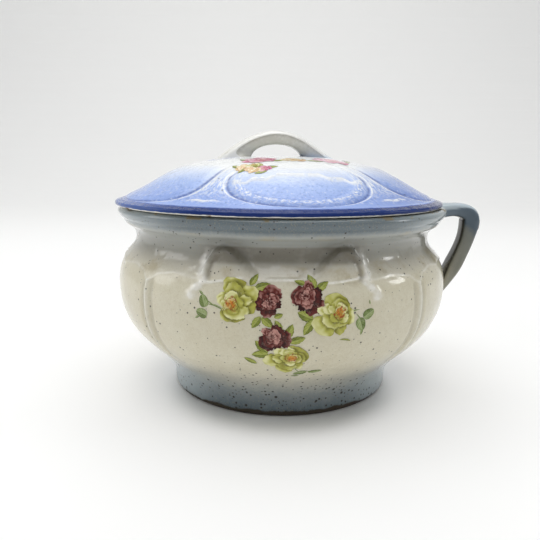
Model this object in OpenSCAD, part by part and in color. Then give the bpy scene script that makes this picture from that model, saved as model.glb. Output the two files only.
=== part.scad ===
// Lidded chamber pot in moulded earthenware.
// The origin is the centre of the foot ring, on the surface the pot stands on.
// +Z is up, the pot's handle is at +X and the front panel faces -Y.

/* [Pot] */
// Radius of the upright foot
foot_r = 80.5; // [70:0.1:90]
// Height of the upright foot
foot_h = 8; // [5:0.5:12]
// Width of the ring the pot stands on
foot_ring_w = 8; // [5:0.5:14]
// Depth of the hollow inside the foot ring
foot_hollow = 4.5; // [2:0.1:7]
// Greatest radius of the belly
belly_r = 118.8; // [110:0.1:130]
// Height of the belly's greatest radius
belly_z = 77; // [68:0.5:84]
// Smallest radius of the neck
neck_r = 105.9; // [98:0.1:110]
// Height of the neck
neck_z = 111; // [106:0.5:115]
// Radius of the rim
rim_r = 117.8; // [112:0.1:124]
// Height of the rim
rim_z = 131.6; // [127:0.1:140]
// Thickness of the pot's wall
wall = 5.5; // [4:0.1:7]
// Thickness of the pot's floor
floor_t = 7; // [5:0.1:10]

/* [Moulded relief of the pot] */
// Height of the beads between the panels
rib_h = 1.5; // [0.5:0.1:2.5]
// Height of the scalloped shoulder edge
skirt_h = 1.1; // [0.3:0.1:2]
// Height of the scrolled ridge beside each lobe
scroll_h = 1.8; // [0.5:0.1:2.5]
// How far the shoulder lobes rise above the neck
lobe_rise = 5; // [2:0.5:7]

/* [Lid] */
// Radius of the lid
lid_r = 117; // [112:0.1:122]
// Thickness of the lid's rounded edge
lid_edge = 3.4; // [2.5:0.1:5]
// Height of the crown above the lid's edge
lid_rise = 33.8; // [28:0.1:42]
// Thickness of the lid's dome
lid_wall = 5; // [4:0.1:7]
// Depth of the locating flange below the rim
flange_h = 9; // [5:0.5:14]
// Thickness of the locating flange
flange_t = 5; // [4:0.1:7]
// Play between the flange and the neck
flange_play = 4.4; // [2:0.1:6]
// Gap between the lid's seat and the rim
seat_gap = 0.3; // [0.2:0.1:0.6]
// How far the lid is turned on its seat
lid_turn = 8; // [-40:1:40]
// Height of the moulded panels on the lid
panel_h = 1.1; // [0.4:0.1:1.6]

/* [Pot handle] */
// How far the handle stands out from the belly
grip_reach = 28.5; // [22:0.5:34]
// Thickness of the handle at its bend
grip_t = 13; // [10:0.1:15]
// Width of the handle
grip_w = 15; // [11:0.5:20]
// Height of the handle's lower end
grip_foot_z = 61; // [54:0.5:68]

/* [Lid handle] */
// Length of the lid handle over both feet
loop_span = 91; // [80:1:104]
// Width of the opening under the arch
loop_gap = 38; // [32:0.5:46]
// Height of the arch above the crown
loop_rise = 18.2; // [15:0.1:24]
// Thickness of the arch at its top
loop_t = 10.2; // [8:0.1:12]
// Width of the arch
loop_w = 19; // [13:0.5:24]
// How far the handle is set off the middle of the lid
loop_off = 2; // [0:0.1:4]

/* [Hidden] */
$fn = 96;

// Round edges of the pot
foot_edge = 2.2;
rim_edge = 3.2;
lip_edge = 4;
floor_edge = 16;

// The moulded panels of the pot, in shares of half a panel's width
panels = 4;
half_panel = 180 / panels;
lobe_at = 0.41;
lobe_in = 0.29;
lobe_out = 0.14;
scroll_at = 0.545;
pocket_at = 0.49;
rib_w = 4.5;
scroll_w = 3.6;
pocket_w = 3;
pocket_d = 1.1;
lobe_lean = 0.16;
lobe_slope = 1.15;
rib_groove = 0.5;
scroll_hook = 0.05;
skirt_edge = 2.4;
skirt_fade = 12;
skirt_dip = 1;
skirt_crest = 2.7;
skirt_drop = 6.5;

// Heights of the relief, from the belly and the neck
skirt_z = neck_z - 15;
lobe_foot = skirt_z - 0.3;
rib_top = skirt_z - 4;
rib_foot = belly_z - 48;
lobe_z = neck_z + lobe_rise;

// Places on the lid
seat_z = rim_z + seat_gap;
flange_r = neck_r - wall - flange_play;
flange_in = flange_r - flange_t;
brim_r = lid_r - 3;
brim_z = seat_z + 0.3;
edge_z = brim_z + lid_edge / 2;
crown_z = brim_z + lid_rise;
// The lid has slid on its seat, within the play of its flange
lid_shift = 0.57 * flange_play;

// Shares of the lid's radius where its moulded panels lie
front_half = 30;
front_mid = 0.68;
front_reach = 0.25;
side_half = 51;
side_start = 0.55;
side_reach = 0.945;
crown_plain = 0.5;
edge_plain = 0.965;
// Shares of the panels' height: the raised frame, the sunk field and the crease around it
frame_h = 0.9;
field_d = 0.35;
crease_d = 0.6;

// Steps of the faceted surfaces
side_steps = 9;
shoulder_steps = 14;
collar_steps = 7;
arc_steps = 3;
sweep_steps = 14;
section_sides = 12;
squareness = 2.5;
// Columns over half a panel, closest at the lobe's edge, the ridge and the bead
lobed_columns = [0, 0.07, 0.12, 0.17, 0.215, 0.26, 0.305, 0.35, 0.4,
    0.44, 0.475, 0.505, 0.53, 0.555, 0.585, 0.64, 0.74, 0.85, 0.92, 0.955];
plain_columns = [0, 0.2, 0.4, 0.6, 0.76, 0.85, 0.92, 0.955];
// Columns over a quarter of the lid, closest at the panels' edges
lid_columns = [0, 7, 13, 18, 22, 25, 27.5, 30, 32.5, 35.5, 38, 40, 43, 47, 53, 61, 70, 80];

// Shaping functions
function mix(a, b, t) = a + (b - a) * t;
function limit(v) = min(1, max(0, v));
function smooth(a, b, v) = let (t = limit((v - a) / (b - a))) t * t * (3 - 2 * t);
function bump(d, w) = abs(d) < w ? (1 + cos(180 * d / w)) / 2 : 0;
function curve(p, t) = let (s = 1 - t)
    s * s * s * p[0] + 3 * s * s * t * p[1] + 3 * s * t * t * p[2] + t * t * t * p[3];
function curve_rows(p, n) = [for (i = [1 : n]) curve(p, i / n)];
function arc_rows(c, r, from, to, n) =
    [for (i = [0 : n]) let (q = mix(from, to, i / n)) c + r * [cos(q), sin(q)]];
function inward(p, d) = [for (i = [0 : len(p) - 1])
    let (t = p[min(i + 1, len(p) - 1)] - p[max(i - 1, 0)])
    p[i] + d * [-t[1], t[0]] / norm(t)];

// Side of the pot from the foot's round edge to the top of the rim, as [radius, height]
belly_rows = curve_rows([[foot_r, foot_h], [foot_r + 1.5, foot_h + (belly_z - foot_h) * 0.344],
    [belly_r, belly_z - (belly_z - foot_h) * 0.578], [belly_r, belly_z]], side_steps);
shoulder_rows = curve_rows([[belly_r, belly_z], [belly_r, belly_z + (neck_z - belly_z) * 0.714],
    [neck_r, neck_z - (neck_z - belly_z) * 0.352], [neck_r, neck_z]], shoulder_steps);
collar_z = rim_z - rim_edge;
collar_rows = curve_rows([[neck_r, neck_z], [neck_r, neck_z + (collar_z - neck_z) * 0.46],
    [rim_r - 4.3, collar_z - (collar_z - neck_z) * 0.56], [rim_r, collar_z]], collar_steps);
foot_rows = concat(
    arc_rows([foot_r - foot_edge, foot_edge], foot_edge, -90, 0, arc_steps), [[foot_r, foot_h]]);
rim_rows = arc_rows([rim_r - rim_edge, collar_z], rim_edge, 30, 90, arc_steps);
side_rows = concat(foot_rows, belly_rows, shoulder_rows, collar_rows, rim_rows);
side_by_height = [for (p = side_rows) [p[1], p[0]]];
function side_r(z) = lookup(z, side_by_height);

// Top of the lid from its seat to the crown, as [radius, height]
edge_rows = arc_rows([lid_r - lid_edge / 2, edge_z], lid_edge / 2, -80, 50, 5);
lid_start = edge_rows[5];
dome_span = crown_z - lid_start[1];
dome_curve = [lid_start, lid_start + [-lid_r * 0.31, dome_span * 0.358],
    [lid_r * 0.73, crown_z], [0, crown_z]];
dome_steps = [0.04, 0.08, 0.13, 0.18, 0.23, 0.28, 0.33, 0.38, 0.43, 0.48, 0.53, 0.59, 0.67, 0.78,
    0.9];
dome_rows = [for (t = dome_steps) curve(dome_curve, t)];
brim_rows = concat([[brim_r - 2, seat_z], [brim_r - 1.4, seat_z + 0.2]], edge_rows);
dome_by_radius = concat([[0, crown_z]], [for (i = [len(dome_rows) - 1 : -1 : 0]) dome_rows[i]],
    [lid_start]);
function dome_z(r) = lookup(r, dome_by_radius);

// Relief of the pot: u is the share of half a panel from the panel's middle
function across(u, r) = u * half_panel * PI / 180 * r;
function skirt_line(u) = skirt_z - skirt_dip * smooth(0.1, 0.5, u)
    + skirt_crest * smooth(0.52, 0.72, u) - skirt_drop * smooth(0.82, 1, u);
function rib(u, z) = let (d = across(1 - u, belly_r))
    rib_h * (bump(d, rib_w) - rib_groove * bump(d - 1.6 * rib_w, rib_w))
    * smooth(rib_foot, rib_foot + 14, z) * smooth(rib_top + 9, rib_top, z);
function skirt(u, z) = let (edge = skirt_line(u))
    skirt_h * smooth(edge - skirt_edge, edge, z) * smooth(edge + skirt_fade, edge + 2, z);
function lobe(u, z) = let (d = u - lobe_at, x = abs(d) / (d < 0 ? lobe_in : lobe_out),
    y = max(0, z - lobe_foot) / (lobe_z - lobe_foot), k = d < 0 ? lobe_slope : 2,
    proud = side_r(lobe_foot) - lobe_lean * (z - lobe_foot) - side_r(z))
    z > lobe_foot ? max(0, proud) * smooth(1.08, 0.72, pow(pow(x, k) + pow(y, k), 1 / k)) : 0;
function scroll(u, z) = let (at = scroll_at + scroll_hook * smooth(lobe_foot, lobe_foot - 10, z))
    scroll_h * bump(across(u - at, neck_r), scroll_w)
    * smooth(lobe_foot - 13, lobe_foot - 6, z) * smooth(lobe_z, lobe_z - 7, z);
function pocket(u, z) = pocket_d * bump(across(u - pocket_at, neck_r), pocket_w)
    * smooth(lobe_foot - 2, lobe_foot + 3, z) * smooth(lobe_z - 2, lobe_z - 9, z);
function relief(u, z, lobed) = rib(u, z) + skirt(u, z)
    + (lobed ? lobe(u, z) + scroll(u, z) - pocket(u, z) : 0);

// Relief of the lid: a is the angle from its front or back panel, x the share of its radius
function front_form(a, x) = sqrt(pow(a / front_half, 2) + pow((x - front_mid) / front_reach, 2));
function front_panel(a, x) = let (q = front_form(a, x))
    frame_h * bump(q - 0.84, 0.22) - field_d * smooth(0.78, 0.6, q) - crease_d * bump(q - 1.03, 0.12);
function side_form(a, x) = let (v = max(0, x - side_start) / (side_reach - side_start))
    pow(pow((90 - a) / side_half, 4) + pow(v, 4), 0.25);
function side_panel(a, x) = let (q = side_form(a, x))
    smooth(1.03, 0.9, q) - crease_d * bump(q - 1.05, 0.1) + field_d * bump(q - 0.84, 0.1);
function lid_relief(a, x) = panel_h * (front_panel(a, x) + side_panel(a, x))
    * smooth(crown_plain, crown_plain + 0.14, x) * smooth(1, edge_plain, x);

// Columns round the pot and the lid
function mirrored(half, span) = concat(half, [span],
    [for (i = [len(half) - 1 : -1 : 1]) 2 * span - half[i]]);
function panel_columns(p) = p % 2 == 1 ? lobed_columns : plain_columns;
pot_angles = half_panel * [for (p = [0 : panels - 1]) let (next = panel_columns(p + 1))
    each concat([for (u = panel_columns(p)) 2 * p + u], [2 * p + 1],
        [for (i = [len(next) - 1 : -1 : 1]) 2 * p + 2 - next[i]])];
lid_angles = [for (p = [0 : 1]) for (a = mirrored(lid_columns, 90)) 180 * p + a];
function panel_share(q) = let (m = (q / half_panel) % 2) m > 1 ? 2 - m : m;
// Only the front and back panels have lobes; those at the sides are plain
function lobed_panel(q) = round(q / half_panel / 2) % 2 == 1;
function lid_share(q) = let (m = q % 180) m > 90 ? 180 - m : m;

// Rings of the pot's outside and of the lid's top
pot_rings = [for (p = side_rows) [for (q = pot_angles)
    let (r = p[0] + relief(panel_share(q), p[1], lobed_panel(q))) [r * cos(q), r * sin(q), p[1]]]];
function lid_ring(p, raised) = [for (q = lid_angles)
    let (z = p[1] + raised * lid_relief(lid_share(q), p[0] / lid_r))
    [p[0] * cos(q - 90), p[0] * sin(q - 90), z]];
lid_rings = concat([for (p = brim_rows) lid_ring(p, 0)], [for (p = dome_rows) lid_ring(p, 1)]);

// Closed skin over a list of rings, each with as many points
function total(v) = v * [for (i = v) 1];
function mean(ring) = [for (k = [0 : 2]) total([for (p = ring) p[k]]) / len(ring)];
module skin(rings) {
    n = len(rings[0]);
    m = len(rings);
    points = concat([for (ring = rings) each ring], [mean(rings[0]), mean(rings[m - 1])]);
    // Each face is split along its shorter diagonal
    sides = [for (i = [0 : m - 2]) for (j = [0 : n - 1])
        let (a = i * n + j, b = a + n, d = i * n + (j + 1) % n, c = d + n)
        each norm(points[a] - points[c]) <= norm(points[b] - points[d])
            ? [[a, b, c], [a, c, d]] : [[a, b, d], [b, c, d]]];
    caps = [for (j = [0 : n - 1]) let (k = (j + 1) % n)
        each [[m * n, j, k], [m * n + 1, (m - 1) * n + k, (m - 1) * n + j]]];
    polyhedron(points, concat(sides, caps));
}

// Rounded strap section, and its sweep along a path in the XZ plane
function strap(v) = sign(v) * pow(abs(v), 2 / squareness);
function section(w, t) = [for (i = [0 : section_sides - 1]) let (q = 360 * i / section_sides)
    [w / 2 * strap(cos(q)), t / 2 * strap(sin(q))]];
function sweep(path, widths, depths) = [for (i = [0 : len(path) - 1])
    let (d = path[min(i + 1, len(path) - 1)] - path[max(i - 1, 0)], t = d / norm(d))
    [for (s = section(widths[i], depths[i])) [path[i][0] - t[1] * s[1], s[0], path[i][1] + t[0] * s[1]]]];

// Steps along a sweep, closest at its start, and the round outline of a pressed end
ease = [for (i = [0 : sweep_steps]) 1 - cos(90 * i / sweep_steps)];
function curve_at(p, shares) = [for (t = shares) curve(p, t)];
function tongue(t, length) = t < length ? sqrt(max(0.05, 1 - pow(1 - t / length, 2))) : 1;

// Pot handle: from the collar out to its bend, then down to the belly
grip_x = max(belly_r, rim_r) + grip_reach - grip_t / 2;
grip_bend_z = rim_z - 12;
grip_head = [rim_r - 8, rim_z - grip_t * 0.38 - 1.4];
grip_foot = [side_r(grip_foot_z) - 1, grip_foot_z];
grip_top = [for (i = [0 : sweep_steps - 1]) i / sweep_steps];
grip_tail = [for (i = [sweep_steps : -1 : 0]) ease[i]];
grip_path = concat(
    curve_at([grip_head, grip_head + [16, 4.5], [grip_x, grip_bend_z + 10], [grip_x, grip_bend_z]],
        grip_top),
    curve_at([grip_foot, mix(grip_foot, [grip_x, grip_bend_z], 0.5) + [5.5, -3.5],
        [grip_x, grip_bend_z - 11], [grip_x, grip_bend_z]], grip_tail));
grip_widths = concat([for (t = grip_top) grip_w * (1 + 0.4 * smooth(0.45, 0, t))],
    [for (t = grip_tail) grip_w * (1 + 0.4 * smooth(0.55, 0.12, t)) * tongue(t, 0.14)]);
grip_depths = concat([for (t = grip_top) grip_t * (0.76 + 0.24 * smooth(0.35, 1, t))],
    [for (t = grip_tail) grip_t * (0.82 + 0.18 * smooth(0.6, 1, t) - 0.54 * smooth(0.4, 0, t))]);

// Lid handle: an arch between an outer and an inner line, which meet the crown far apart
loop_top = crown_z + loop_rise;
loop_in = loop_gap / 2;
loop_out = loop_span / 2;
loop_outer = curve_at([[loop_out, dome_z(loop_out) - 1.2], [loop_out * 0.73, crown_z + 1.8],
    [loop_out * 0.43, loop_top], [0, loop_top]], ease);
loop_inner = curve_at([[loop_in, dome_z(loop_in) - 1.2], [loop_in * 0.86, loop_top - loop_t - 3],
    [loop_in * 0.5, loop_top - loop_t], [0, loop_top - loop_t]], ease);
loop_widths = [for (t = ease) loop_w * (1 + 0.3 * smooth(0.5, 0, t))];
function loop_ring(i, side) = let (m = (loop_outer[i] + loop_inner[i]) / 2,
    h = (loop_outer[i] - loop_inner[i]) / 2)
    [for (s = section(loop_widths[i], 2)) [side * (m[0] - h[0] * s[1]), s[0], m[1] - h[1] * s[1]]];
loop_rings = concat([for (i = [0 : sweep_steps]) loop_ring(i, 1)],
    [for (i = [sweep_steps - 1 : -1 : 0]) loop_ring(i, -1)]);

module revolve(rows) {
    rotate_extrude() polygon(rows);
}

// Inside of the pot, open above the rim
module pot_hollow() {
    inner = inward(concat(belly_rows, shoulder_rows, collar_rows), wall);
    floor_z = foot_hollow + floor_t;
    bowl = [for (p = inner) if (p[1] > floor_z + floor_edge && p[1] < neck_z) p];
    start = bowl[0];
    throat = neck_r - wall;
    lip = [throat + lip_edge, rim_z - lip_edge];
    bottom = curve_rows([[start[0] - floor_edge * 1.5, floor_z], [start[0] - floor_edge * 0.5, floor_z],
        start - [floor_edge * 0.3, floor_edge * 0.55], start], 8);
    revolve(concat([[0, floor_z], [start[0] - floor_edge * 1.5, floor_z]], bottom,
        [for (i = [1 : len(bowl) - 1]) bowl[i]], [[throat, neck_z]],
        arc_rows(lip + [lip_edge, 0], 2 * lip_edge, 180, 150, arc_steps),
        [[lip[0] + lip_edge * 0.4, rim_z], [lip[0] + lip_edge * 0.4, rim_z + 1], [0, rim_z + 1]]));
}

// Hollow under the foot, with sloping sides
module foot_hollow_cut() {
    ring_in = foot_r - foot_edge - foot_ring_w;
    revolve([[0, -1], [ring_in + 0.5, -1], [ring_in, 0],
        [ring_in - foot_hollow * 0.6, foot_hollow], [0, foot_hollow]]);
}

module pot_body() {
    color("#e9e5da")
    difference() {
        skin(pot_rings);
        pot_hollow();
        foot_hollow_cut();
    }
}

module pot_handle() {
    color("#8fa0b2")
    difference() {
        skin(sweep(grip_path, grip_widths, grip_depths));
        revolve(concat([[0, 0]], side_rows, [[0, rim_z]]));
    }
}

// Moves the lid's pieces to the place where the lid lies on the rim
module on_seat() {
    translate([-lid_shift, 0, 0]) rotate(lid_turn) children();
}

// Hollow under the dome, inside the flange
module lid_hollow() {
    under = inward(concat([lid_start], dome_rows, [[0, crown_z]]), lid_wall);
    roof = [for (p = under) if (p[0] > 1 && p[0] < flange_in - 1) p];
    mouth_z = seat_z - flange_h - 1;
    revolve(concat([[0, mouth_z], [flange_in, mouth_z], [flange_in, roof[0][1] - 1]], roof,
        [[0, crown_z - lid_wall]]));
}

module lid() {
    color("#8ea6dc")
    on_seat()
    difference() {
        union() {
            skin(lid_rings);
            translate([0, 0, seat_z - flange_h]) cylinder(r = flange_r, h = flange_h + 3);
        }
        lid_hollow();
    }
}

module lid_handle() {
    color("#f2f1ec")
    on_seat()
    difference() {
        translate([-loop_off, 0, 0]) skin(loop_rings);
        revolve(concat([[0, seat_z], [brim_r, seat_z]], [lid_start], dome_rows, [[0, crown_z]]));
    }
}

pot_body();
pot_handle();
lid();
lid_handle();
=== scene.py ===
"""Dressed model of a lidded chamber pot: moulded pot and lid, luted handles, rose transfers and studio."""
import logging
import math
from bisect import bisect_right
from collections.abc import Sequence
from dataclasses import dataclass, field
from enum import Enum
from typing import Protocol

import bmesh
import bpy
from mathutils import Matrix, Vector, noise


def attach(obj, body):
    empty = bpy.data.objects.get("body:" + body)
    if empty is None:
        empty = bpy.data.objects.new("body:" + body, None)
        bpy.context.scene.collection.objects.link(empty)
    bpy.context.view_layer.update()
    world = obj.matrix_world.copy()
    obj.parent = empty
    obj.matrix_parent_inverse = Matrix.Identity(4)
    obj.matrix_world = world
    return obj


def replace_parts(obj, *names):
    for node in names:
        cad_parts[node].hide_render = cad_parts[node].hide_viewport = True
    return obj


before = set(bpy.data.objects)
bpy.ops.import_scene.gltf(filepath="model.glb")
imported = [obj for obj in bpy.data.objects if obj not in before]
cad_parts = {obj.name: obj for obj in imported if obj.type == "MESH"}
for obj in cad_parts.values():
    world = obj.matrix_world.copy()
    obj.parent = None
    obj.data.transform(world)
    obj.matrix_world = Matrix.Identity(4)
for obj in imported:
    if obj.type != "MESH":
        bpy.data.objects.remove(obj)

LOG = logging.getLogger("chamber_pot")
MM = 0.001

# A wheel is spun as one wedge, doubled until it closes, and merged within a share of its radius
DOUBLINGS = 4
WEDGES = 2 ** DOUBLINGS
SEAM = 1.25e-5

# Short names of types
Colour = tuple[float, float, float]
Point = tuple[float, float]
Spot = tuple[float, float, float]
Stops = Sequence[tuple[float, str]]
Mesh = bmesh.types.BMesh
Vert = bmesh.types.BMVert
Thing = bpy.types.Object
Tree = bpy.types.NodeTree
Node = bpy.types.Node
Socket = bpy.types.NodeSocket
Value = float | Socket
Paint = str | Colour | Socket


# Shaping functions

def limit(v: float, low: float = 0.0, high: float = 1.0) -> float:
    """Keep a value between two limits."""
    return min(high, max(low, v))


def mix(a: float, b: float, t: float) -> float:
    """Value at share t of the way from a to b."""
    return a + (b - a) * t


def between(a: Point, b: Point, t: float) -> Point:
    """Point at share t of the way from a to b."""
    return (mix(a[0], b[0], t), mix(a[1], b[1], t))


def smooth(a: float, b: float, v: float) -> float:
    """Soft step from 0 at a to 1 at b; a may be the larger."""
    t = limit((v - a) / (b - a))
    return t * t * (3 - 2 * t)


def plateau(v: float, a: float, b: float, c: float, d: float) -> float:
    """Soft rise from a to b and soft fall from c to d."""
    return smooth(a, b, v) * smooth(d, c, v)


def bump(d: float, w: float) -> float:
    """Round hump of height 1 that ends at distance w from its middle."""
    return (1 + math.cos(math.pi * d / w)) / 2 if abs(d) < w else 0.0


def arc(degrees: float, r: float) -> float:
    """Length of an arc."""
    return degrees * math.pi / 180 * r


def power(v: float, p: float) -> float:
    """Power of a value's size, with the value's sign."""
    return math.copysign(abs(v) ** p, v)


def curve(points: Sequence[Point], t: float) -> Point:
    """Point of a cubic curve with four control points.

    Args:
        points: the control points.
        t: share of the way along, 0 to 1.

    Returns:
        The point, as (x, y).
    """
    s = 1 - t
    k = (s * s * s, 3 * s * s * t, 3 * s * t * t, t * t * t)
    return (sum(w * p[0] for w, p in zip(k, points)), sum(w * p[1] for w, p in zip(k, points)))


def curve_rows(points: Sequence[Point], n: int) -> list[Point]:
    """The n points along a cubic curve, without its first."""
    return [curve(points, (i + 1) / n) for i in range(n)]


def arc_rows(centre: Point, r: float, start: float, end: float, n: int) -> list[Point]:
    """The n + 1 points along a round arc between two angles in degrees."""
    turns = [math.radians(mix(start, end, i / n)) for i in range(n + 1)]
    return [(centre[0] + r * math.cos(q), centre[1] + r * math.sin(q)) for q in turns]


def line_rows(a: Point, b: Point, n: int) -> list[Point]:
    """The n points along a straight line, without its first."""
    return [between(a, b, (i + 1) / n) for i in range(n)]


def heading(rows: Sequence[Point], i: int) -> Vector:
    """Direction of a line of points at one of them."""
    a, b = rows[max(i - 1, 0)], rows[min(i + 1, len(rows) - 1)]
    return Vector((b[0] - a[0], b[1] - a[1])).normalized()


def inward(rows: Sequence[Point], d: float) -> list[Point]:
    """Copy of a profile, given upwards, moved towards the axis by a wall's thickness."""
    ways = [heading(rows, i) for i in range(len(rows))]
    return [(p[0] - d * t.y, p[1] + d * t.x) for p, t in zip(rows, ways)]


def through(stops: Sequence[Point], x: float) -> float:
    """Softly joined line through stops.

    Args:
        stops: (x, y) pairs with rising x.
        x: place to read.

    Returns:
        The height of the line there.
    """
    i = 1
    while i < len(stops) - 1 and stops[i][0] < x:
        i += 1
    a, b = stops[i - 1], stops[i]
    return mix(a[1], b[1], smooth(a[0], b[0], x))


def look_up(places: Sequence[float], values: Sequence[float], x: float) -> float:
    """Straight line through a profile's points.

    Args:
        places: their rising places.
        values: their values.
        x: place to read.

    Returns:
        The value there.
    """
    i = int(limit(bisect_right(places, x), 1, len(places) - 1))
    share = limit((x - places[i - 1]) / max(1e-6, places[i] - places[i - 1]))
    return mix(values[i - 1], values[i], share)


def wander(x: float, y: float, z: float, size: float) -> float:
    """Slow unevenness from -1 to 1 with features of about the given size."""
    return noise.noise(Vector((x, y, z)) / size)


# Colours

def tint(code: str) -> Colour:
    """Linear colour of a display code.

    Args:
        code: its six digits.

    Returns:
        The colour.
    """
    parts = [int(code[i:i + 2], 16) / 255 for i in (0, 2, 4)]
    r, g, b = (c / 12.92 if c <= 0.04045 else ((c + 0.055) / 1.055) ** 2.4 for c in parts)
    return (r, g, b)


def blend(a: Colour, b: Colour, t: float) -> Colour:
    """Colour at share t of the way from a to b."""
    t = limit(t)
    return (mix(a[0], b[0], t), mix(a[1], b[1], t), mix(a[2], b[2], t))


@dataclass(frozen=True)
class Ink:
    """Colours of one printed motif, from its shadows to its lights, and how far its rim darkens."""

    deep: Colour
    mid: Colour
    light: Colour
    heart: Colour = (0.0, 0.0, 0.0)
    fleck: Colour = (0.0, 0.0, 0.0)
    depth: float = 0.0

    @classmethod
    def of(cls, codes: str, depth: float = 0.0) -> "Ink":
        """Ink from display codes in the order of the fields."""
        return cls(*map(tint, codes.split()), depth=depth)

    def shade(self, v: float) -> Colour:
        """Colour for a brightness from 0 to 1."""
        return blend(self.deep, self.mid, v * 2) if v < 0.5 else blend(self.mid, self.light, v * 2 - 1)


class Print(Enum):
    """Inks of the transfers."""

    YELLOW = Ink.of("78752a bdbb55 eeecb4 d8842c 9c2a18")
    MAROON = Ink.of("330906 67221b c9958a 3a0b08 d0a094", depth=0.34)
    PINK = Ink.of("a83e62 d87f9f f5d3dd b03a57 f0c9a0")
    CORAL = Ink.of("c99a66 ebcfa0 f6eed0 d8806a d8cc70")
    LEAF = Ink.of("46511c 8f993c cacf74")
    SAGE = Ink.of("4a5a24 86985a c3cc9c")


# Mesh work shared by the pieces

def link(name: str, data: bpy.types.ID) -> Thing:
    """Put a new object into the scene.

    Args:
        name: its name.
        data: what it shows.

    Returns:
        The object.
    """
    made = bpy.data.objects.new(name, data)
    bpy.context.scene.collection.objects.link(made)
    return made


def close_mesh(bm: Mesh, name: str) -> bpy.types.Mesh:
    """Turn a bmesh into a mesh.

    Args:
        bm: the bmesh; it is freed.
        name: the mesh's name.

    Returns:
        The mesh.
    """
    mesh = bpy.data.meshes.new(name)
    bm.to_mesh(mesh)
    bm.free()
    return mesh


def finish_piece(bm: Mesh, name: str, body: str) -> Thing:
    """Turn a bmesh into a smooth-shaded piece of the object.

    Args:
        bm: the finished mesh; it is freed.
        name: the piece's name.
        body: the CAD body it moves with.

    Returns:
        The new object.
    """
    for f in bm.faces:
        f.smooth = True
    piece = link(name, close_mesh(bm, name))
    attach(piece, body)
    LOG.info("%s: %d faces on %s", name, len(piece.data.polygons), body)
    return piece


def layers(bm: Mesh, *names: str) -> list[bmesh.types.BMLayerItem]:
    """Add a layer of numbers to the vertices for each name."""
    return [bm.verts.layers.float.new(name) for name in names]


def only_verts(made: Sequence[object]) -> list[Vert]:
    """The vertices among an operator's results."""
    return [g for g in made if isinstance(g, Vert)]


def face_out(bm: Mesh) -> None:
    """Point all faces outwards."""
    bmesh.ops.recalc_face_normals(bm, faces=bm.faces[:])


def wheel(bm: Mesh, line: Sequence[Vert], columns: int) -> list[Vert]:
    """Spin a line of new vertices about the Z axis: a short spin, doubled until it closes.

    Args:
        bm: the mesh that holds the vertices.
        line: the vertices in order, not yet joined.
        columns: steps of the full turn, a multiple of WEDGES.

    Returns:
        All vertices of the wheel, merged at its seams and its poles.
    """
    known = set(bm.verts) - set(line)
    edges = [bm.edges.new(pair) for pair in zip(line, line[1:])]
    turn = math.tau / WEDGES
    bmesh.ops.spin(bm, geom=[*line, *edges], axis=(0, 0, 1), angle=turn, steps=columns // WEDGES)
    made = [v for v in bm.verts if v not in known]
    for _ in range(DOUBLINGS):
        faces = list({f for v in made for f in v.link_faces})
        fresh = only_verts(bmesh.ops.duplicate(bm, geom=made + faces)["geom"])
        bmesh.ops.rotate(bm, verts=fresh, matrix=Matrix.Rotation(turn, 3, "Z"))
        made += fresh
        turn *= 2
    bmesh.ops.remove_doubles(bm, verts=made, dist=SEAM * max(v.co.xy.length for v in made))
    return [v for v in bm.verts if v not in known]


def turned(parts: Sequence[tuple[Sequence[Point], float]], columns: int) -> Mesh:
    """Spin a closed profile about the Z axis.

    Args:
        parts: the profile from axis to axis, in parts: points as (radius, height) in millimetres, and
            the number that their vertices keep in the layer "outside".
        columns: steps of the full turn.

    Returns:
        The spun mesh, in millimetres, with closed poles and faces outwards.
    """
    bm = bmesh.new()
    outside = layers(bm, "outside")[0]
    verts = []
    for rows, mark in parts:
        for r, z in rows:
            verts.append(bm.verts.new((r, 0, z)))
            verts[-1][outside] = mark
    wheel(bm, verts, columns)
    face_out(bm)
    return bm


def tube(sides: int, steps: int) -> Mesh:
    """Straight tube with closed ends, whose vertices hold their section angle in x, y and their step in z.

    Args:
        sides: points round the section.
        steps: rows along the tube.

    Returns:
        The mesh.
    """
    bm = bmesh.new()
    bmesh.ops.create_circle(bm, segments=sides, radius=1)
    loop = bm.edges[:]
    bmesh.ops.edgeloop_fill(bm, edges=loop)
    for _ in range(steps):
        out = bmesh.ops.extrude_edge_only(bm, edges=loop)["geom"]
        bmesh.ops.translate(bm, verts=only_verts(out), vec=(0, 0, 1))
        loop = [g for g in out if isinstance(g, bmesh.types.BMEdge)]
    bmesh.ops.edgeloop_fill(bm, edges=loop)
    return bm


# The pieces

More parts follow.
